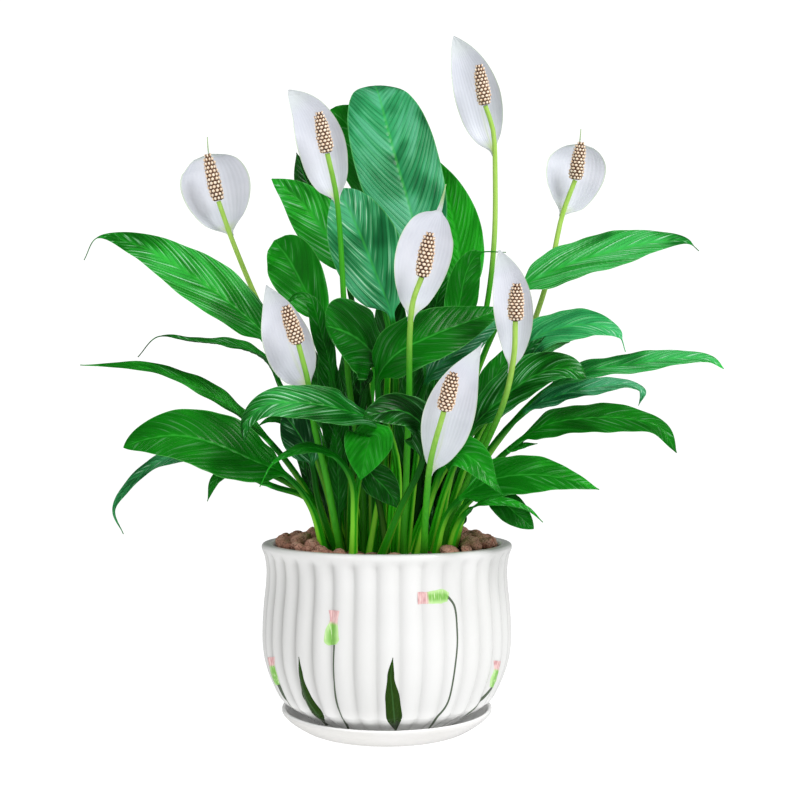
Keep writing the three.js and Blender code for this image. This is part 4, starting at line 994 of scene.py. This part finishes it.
blooms = {
    "bloom_left_high": dict(
        stem=[(-28, 10), (-46, 200, 14), (-66, 255, 18), (-88, 302, 20), (-104, 337, 18), (-119, 374, 8),
              (-128.5, 401, 2)],
        spadix=(-137, 437, -6),
        path=[(-119, 373, 15), (-124, 388, 18), (-129, 408, 20), (-133, 426, 18), (-136, 438, 14),
              (-137, 450, 10)],
        pale=230, width=54, blunt=0.42, tail=0.16, face=(0, -1, 0.2)),
    "bloom_upper_left": dict(
        stem=[(-17, -22), (-20, 200, -28), (-29, 262, -38), (-33, 327, -46), (-36, 380, -44),
              (-39, 408, -46), (-45.5, 437.5, -54)],
        spadix=(-52, 469, -62),
        path=[(-40, 398, -38), (-43, 420, -37), (-49, 445, -38), (-59, 467, -42), (-75, 486, -50)],
        pale=375, width=36, blunt=0.8, face=(-0.25, -1, 0.1)),
    "bloom_top_right": dict(
        stem=[(24, 14), (40, 200, 16), (61, 255, 20), (76, 320, 24), (81.8, 370, 26), (82.6, 420, 26),
              (81, 455, 18), (75, 474, 12)],
        spadix=(70, 505, 4),
        path=[(83, 434, 33), (76, 455, 34), (70, 480, 32), (62, 503, 26), (51, 527, 18)],
        pale=330, width=36, sharp=0.8, blunt=0.85, face=(-0.25, -1, 0.1)),
    "bloom_right_high": dict(
        stem=[(40, 5), (62, 195, 8), (88, 250, 12), (109, 300, 12), (124, 346, 10), (134, 391, 7),
              (143.6, 417, 2)],
        spadix=(148, 446, -5),
        path=[(134, 389, 14), (138, 400, 15.5), (142, 416, 19), (145, 432, 20), (147, 445, 16),
              (148, 456, 12)],
        pale=230, width=46, blunt=0.4, tail=0.16, face=(0, -1, 0.2)),
    "bloom_centre": dict(
        stem=[(12, -48), (15, 200, -64), (17, 255, -86), (17.5, 300, -98), (20, 325, -106),
              (26.6, 343, -112)],
        spadix=(33, 377, -120),
        path=[(18, 307, -90), (21, 330, -93), (26, 355, -95), (33, 378, -98), (40, 394, -102),
              (45, 414, -106)],
        pale=258, width=38, sharp=0.8, blunt=0.5, tail=0.2, thread=1.9, face=(0.15, -1, 0.15)),
    "bloom_right_mid": dict(
        stem=[(40, -34), (53, 168, -44), (72, 208, -58), (90, 250, -84), (97, 284, -98), (98, 309.5, -106)],
        spadix=(99, 338, -112),
        path=[(94.5, 267, -83), (97, 288, -88), (97, 314, -90), (93, 340, -92), (85.5, 364, -96)],
        pale=215, width=27, sharp=1, blunt=0.9, face=(-0.15, -1, 0.1)),
    "bloom_front": dict(
        stem=[(28, -58), (30, 170, -88), (34, 206, -118), (43.6, 241, -136)],
        spadix=(51, 270, -143.6),
        path=[(34.5, 187, -95), (40, 212, -111), (46, 237, -121), (56, 263, -125), (73, 293, -127)],
        pale=180, width=34, sharp=1.3, blunt=1.4, face=(0.15, -1, 0.1)),
    "bloom_left_mid": dict(
        stem=[(-34, -44), (-46, 190, -62), (-56, 232, -76), (-60, 262, -84), (-67.5, 292, -90)],
        spadix=(-77.5, 321, -98),
        path=[(-60, 256, -75), (-68, 275, -74), (-76, 297, -76), (-83, 317, -80), (-92, 337, -86)],
        pale=235, width=35, blunt=0.95, face=(-0.15, -1, 0.1)),
}


def circle(side, front, turn):
    """The way out from a stem's axis at an angle, from its side towards its front."""
    return side * -math.cos(turn) + front * math.sin(turn)


def stem_rings(stops):
    """Loops of a round stem, a little stouter at its foot."""
    line = GrowingLine(stops, 0)
    rings, normal = [], Vector((0, -1, 0))
    for i in range(STEM_STEPS + 1):
        s = i / STEM_STEPS
        forward = line.along(s)
        normal = (normal - forward * normal.dot(forward)).normalized()
        side = forward.cross(normal)
        size = BLOOM_STEM_RADIUS * mix(1.2, 0.82, s)
        rings.append([
            line.at(s) + side * (-size * math.cos(2 * math.pi * j / STEM_AROUND))
            + normal * (size * math.sin(2 * math.pi * j / STEM_AROUND)) for j in range(STEM_AROUND)
        ])
    return line, rings


def bloom_stem_skin():
    """Smooth ribbed stem, green below and paler towards the bloom."""
    material, tree = new_material("bloom_stem_green")
    paleness, _, _ = read_field(tree, "stem")
    ribs = grain(tree, 500, 2.0, (1, 1, 0.06))
    green = blend(ribs, (0.014, 0.24, 0.005), (0.065, 0.40, 0.014))
    pale = blend(ribs, (0.27, 0.52, 0.05), (0.46, 0.68, 0.16))
    colour = blend(paleness, green, pale)
    return finish(material, colour, ramp(ribs, 0.3, 0.7, 0.32, 0.45), 0.15, ribs, 0.0001)


def spathe_skin():
    """Petal-like hood: white with a cool tint, faint long veins, a green keel and a green point."""
    material, tree = new_material("spathe_white")
    _, across, _ = read_field(tree, "veins")
    _, tip_green, along = read_field(tree, "tone")
    off = maths("ABSOLUTE", across)
    lines = maths("SINE", times(across, 46.0))
    clouds = grain(tree, 40, 2.0)
    keel = times(ramp(off, 0.12, 0.0), ramp(along, 0.6, 0.05, 0.0, 0.6))
    foot = times(ramp(along, 0.16, 0.02), ramp(off, 1.0, 0.2))
    tip = times(ramp(along, 0.78, 0.92), tip_green)
    colour = layers(
        (0.63, 0.655, 0.725),
        (ramp(lines, -0.2, 1.0, 0.0, 0.3), (0.57, 0.59, 0.68)),
        (ramp(clouds, 0.35, 0.7), (0.69, 0.71, 0.78)),
        (keel, (0.58, 0.66, 0.40)),
        (foot, (0.50, 0.64, 0.22)),
        (tip, (0.42, 0.62, 0.26)),
        (ramp(off, 0.93, 1.0, 0.0, 0.7), (0.60, 0.74, 0.50)),
    )
    return finish(material, colour, ramp(clouds, 0.3, 0.7, 0.42, 0.58), 0.25, lines, 0.00004)


def floret_skin():
    """Floret beads: cream tops that turn tan lower down, near black at their feet and on the core as painted
    shade between the beads, with a pale dot of pollen.
    """
    material, tree = new_material("floret_cream")
    high, shade, _ = read_field(tree, "bead")
    pollen = grain(tree, 1500, 2.0)
    # painted shade: near black where the beads meet the core, under the tan and cream of the beads
    colour = layers(
        (0.075, 0.026, 0.010),
        (ramp(high, 0.2, 0.75), (0.74, 0.48, 0.30)),
        (ramp(high, 0.6, 0.95), (0.93, 0.83, 0.68)),
        (times(shade, 0.3), (0.70, 0.42, 0.22)),
        (ramp(pollen, 0.55, 0.7, 0.0, 0.35), (0.97, 0.93, 0.86)),
    )
    return finish(material, colour, 0.7, 0.5, pollen, 0.00015)


def spadix_radius(s):
    """The radius of a spadix from its foot at 0 to its blunt top at 1."""
    return SPADIX_RADIUS * min(0.66 + 2.2 * s, 1) * math.sqrt(max(1 - s**3.4, 0.04))


def spadix_points(end, top, chance):
    """A slim core with rows of florets set by turns on it, each a small blunt bead."""
    axis = (top - end).normalized()
    start = end + axis * 0.5
    length = (top - start).length
    front = (Vector((0, -1, 0)) - axis * (-axis.y)).normalized()
    side = axis.cross(front)
    points, faces, field, rings = [], [], [], []
    for i in range(CORE_STEPS + 1):
        s = i / CORE_STEPS
        rings.append([
            (start + axis * (length * s) + circle(side, front, 2 * math.pi * j / CORE_STEPS)
             * (spadix_radius(s) * CORE_SHARE)) * MM for j in range(CORE_STEPS)
        ])
        field += [(0.0, 0.0, s)] * CORE_STEPS
    close_skin(points, faces, rings)
    for i in range(FLORET_ROWS):
        s = (i + 0.6) / (FLORET_ROWS + 0.1)
        radius = spadix_radius(s)
        share = FLORETS_ROUND if s < 0.93 else FLORETS_AT_TIP
        for j in range(share):
            turn = 2 * math.pi * (j + 0.5 * (i % 2)) / share + chance.uniform(-0.05, 0.05)
            outward = circle(side, front, turn)
            sideways = side * math.sin(turn) + front * math.cos(turn)
            lean = (outward + axis * (0.15 + 0.9 * max(s - 0.7, 0))).normalized()
            broad = 2 * math.pi * radius / share * FLORET_BROAD
            tall = length / FLORET_ROWS * FLORET_TALL
            rise = FLORET_RISE * chance.uniform(0.7, 1.3)
            middle = start + axis * (length * s) + outward * (radius * FLORET_SEAT)
            first, shade = len(points), chance.random()
            for wide, high in FLORET_LEVELS:
                for m in range(FLORET_SIDES):
                    corner = 2 * math.pi * (m + 0.5) / FLORET_SIDES
                    points.append((middle + sideways * (broad * wide * math.cos(corner))
                                   + axis * (tall * wide * math.sin(corner)) + lean * (rise * high)) * MM)
                    field.append((high, shade, s))
            points.append((middle + lean * rise) * MM)
            field.append((1.0, shade, s))
            second, third, peak = (first + FLORET_SIDES * k for k in (1, 2, 3))
            faces += band(first, second, FLORET_SIDES) + band(second, third, FLORET_SIDES)
            faces += [(third + m, third + (m + 1) % FLORET_SIDES, peak) for m in range(FLORET_SIDES)]
            faces.append(tuple(reversed(range(first, second))))
    return points, faces, field


STEM_GREEN, SPATHE, FLORETS = bloom_stem_skin(), spathe_skin(), floret_skin()
chance = random.Random(7)
for name, bloom in blooms.items():
    line, rings = stem_rings(bloom["stem"])
    FEET.append(tuple(line.at(0))[:2])
    points, faces = [], []
    close_skin(points, faces, [[p * MM for p in ring] for ring in rings])
    stem = make_mesh(name + "_stalk", points, faces)
    paleness = [(soft((p.z - bloom["pale"]) / PALE_FADE), 0, 0) for ring in rings for p in ring]
    give_field(stem, "stem", paleness)
    settle(stem, STEM_GREEN, name + "_stem")

    points, faces, field = spadix_points(line.at(1), seen(bloom["spadix"]), chance)
    spike = make_mesh(name + "_florets", points, faces, 80)
    give_field(spike, "bead", field)
    settle(spike, FLORETS, name + "_spadix")

    wanted = seen(bloom["path"][0]).z
    s = min((i / 400 for i in range(401)), key=lambda share: abs(line.at(share).z - wanted))
    forward = line.along(s)
    back = (Vector((0, 1, 0)) - forward * forward.y).normalized()
    foot = line.at(s) + back * (BLOOM_STEM_RADIUS * 1.05 + PETIOLE_RADIUS + CLEARANCE)
    tip_green = 0.9 if "tail" in bloom else 0.12
    hood = {**bloom, "path": [foot, *bloom["path"][1:]], "neck": 0, "fold": 0, "droop": -0.34, "wave": 0.8,
            "tone": (0.5, tip_green)}
    grow(name + "_hood", [hood], SPATHE, name + "_spathe", quilted=False)

# ---------------------------------------------------------------- potting mix and clay pebbles
# Loose brown mix fills the pot to just under the lip, mounded at the sides and the back, and baked
# clay pebbles are strewn over it, around the stalks. Each is a rounded, pitted lump 8 to 19 mm across.
SOIL_EDGE_Z = 134
SOIL_MOUND = 9
SOIL_RADIUS = 84
BED_AROUND = 72
BED_ROWS = [0, 14, 28, 42, 54, 64, 72, 78, 82.5, 84.2]
BED_FLOOR_RADIUS, BED_FLOOR_Z = 74.3, 27.0
PEBBLE_TRIES = 2600
PEBBLE_RINGS, PEBBLE_AROUND = 9, 14
PEBBLE_DENT = 0.34
PEBBLE_REACH, WALL_REACH = 83.6, 84.6
CLOSEST_SHARE = 0.72
PEBBLE_SIZES, RIM_SIZES, RIM_BAND = (4.6, 9.6), (4.0, 6.4), 74
STALK_ROOM = 3.4


def soil_height(x, y):
    """How high the mix stands at a spot: level in front, mounded at the sides and the back."""
    out = math.hypot(x, y) / SOIL_RADIUS
    side = soft((abs(x) / SOIL_RADIUS + max(y, 0) / SOIL_RADIUS - 0.25) / 0.5)
    return SOIL_EDGE_Z + SOIL_MOUND * side * soft((1.12 - out) / 0.22)


def pebble_ball(chance):
    """The points and faces of a ball of radius 1 with soft dents."""
    rings, around = PEBBLE_RINGS, PEBBLE_AROUND
    bumps = [(Vector((chance.gauss(0, 1), chance.gauss(0, 1), chance.gauss(0, 1))).normalized(),
              chance.uniform(-PEBBLE_DENT, PEBBLE_DENT)) for _ in range(9)]
    points = [Vector((0, 0, 1))]
    for i in range(1, rings):
        tilt = math.pi * i / rings
        for j in range(around):
            turn = 2 * math.pi * (j + 0.5 * (i % 2)) / around
            wide = math.sin(tilt)
            points.append(Vector((wide * math.cos(turn), wide * math.sin(turn), math.cos(tilt))))
    points.append(Vector((0, 0, -1)))
    shaped = [p * (1 + sum(high * max(p.dot(way), 0) ** 6 for way, high in bumps)) for p in points]
    faces = [(0, 1 + j, 1 + (j + 1) % around) for j in range(around)]
    for i in range(rings - 2):
        a, b = 1 + i * around, 1 + (i + 1) * around
        for j in range(around):
            k = (j + 1) % around
            if i % 2 == 0:
                faces += [(a + j, b + j, a + k), (a + k, b + j, b + k)]
            else:
                faces += [(a + j, b + j, b + k), (a + j, b + k, a + k)]
    last = 1 + (rings - 2) * around
    faces += [(len(points) - 1, last + (j + 1) % around, last + j) for j in range(around)]
    return shaped, faces


def baked_clay():
    """Baked clay: brown, pitted and dusty, each pebble in a shade of its own, over dark mix."""
    material, tree = new_material("baked_clay")
    is_pebble, shade, _ = read_field(tree, "clay")
    pores = grain(tree, 900, 4.0)
    dust = grain(tree, 160, 3.0)
    pebble = layers(
        (0.36, 0.155, 0.105),
        (shade, (0.64, 0.34, 0.25)),
        (ramp(dust, 0.45, 0.75, 0.0, 0.6), (0.72, 0.47, 0.36)),
        (ramp(pores, 0.5, 0.36, 0.0, 0.7), (0.07, 0.032, 0.022)),
    )
    return finish(material, blend(is_pebble, (0.035, 0.018, 0.012), pebble), 0.85, 0.2, pores, 0.0009)


# the bed of mix: rings on its top and one low in the pot
chance = random.Random(31)
points, faces, field = [], [], []
for radius in BED_ROWS:
    for j in range(BED_AROUND):
        angle = 2 * math.pi * j / BED_AROUND
        x, y = radius * math.cos(angle), radius * math.sin(angle)
        crumb = 0.7 * math.sin(x * 0.9 + 1.3 * math.sin(y * 0.7)) * math.sin(y * 1.1)
        z = SOIL_EDGE_Z - 1.5 if radius > SOIL_RADIUS else soil_height(x, y) - 2.4 + crumb
        points.append(Vector((x, y, z)) * MM)
        field.append((0.0, 0.0, chance.random()))
points += [round_axis(BED_FLOOR_RADIUS, 2 * math.pi * j / BED_AROUND, BED_FLOOR_Z) for j in range(BED_AROUND)]
field += [(0, 0, 0.5)] * BED_AROUND
for i in range(len(BED_ROWS)):
    for j in range(BED_AROUND):
        k = (j + 1) % BED_AROUND
        a, b = i * BED_AROUND, (i + 1) * BED_AROUND
        faces.append((a + j, b + j, b + k, a + k))
faces.append(tuple(reversed(range(len(points) - BED_AROUND, len(points)))))

# the pebbles, each dropped where it is clear of the stalks and of the others
placed = []
for _ in range(PEBBLE_TRIES):
    out = PEBBLE_REACH * math.sqrt(chance.random())
    angle = chance.uniform(0, 2 * math.pi)
    size = chance.uniform(*(PEBBLE_SIZES if out < RIM_BAND else RIM_SIZES))
    reach = min(out, WALL_REACH - size)
    x, y = reach * math.cos(angle), reach * math.sin(angle)
    if any(math.hypot(x - fx, y - fy) < size * 0.82 + STALK_ROOM for fx, fy in FEET):
        continue
    if any(math.hypot(x - px, y - py) < (size + other) * CLOSEST_SHARE for px, py, other in placed):
        continue
    placed.append((x, y, size))
    ball, ball_faces = pebble_ball(chance)
    turn = Matrix.Rotation(chance.uniform(0, 6.28), 3, "Z")
    turn = turn @ Matrix.Rotation(chance.uniform(-0.5, 0.5), 3, "X")
    squash = Vector((1, chance.uniform(0.72, 1), chance.uniform(0.62, 0.82)))
    middle = Vector((x, y, soil_height(x, y) + chance.uniform(-1.6, 0.6)))
    start, shade = len(points), chance.random()
    for p in ball:
        points.append((middle + turn @ (p * squash) * size) * MM)
        field.append((1.0, shade, chance.random()))
    faces += [tuple(v + start for v in face) for face in ball_faces]
pebbles = make_mesh("clay_pebbles", points, faces)
give_field(pebbles, "clay", field)
settle(pebbles, baked_clay(), "soil")
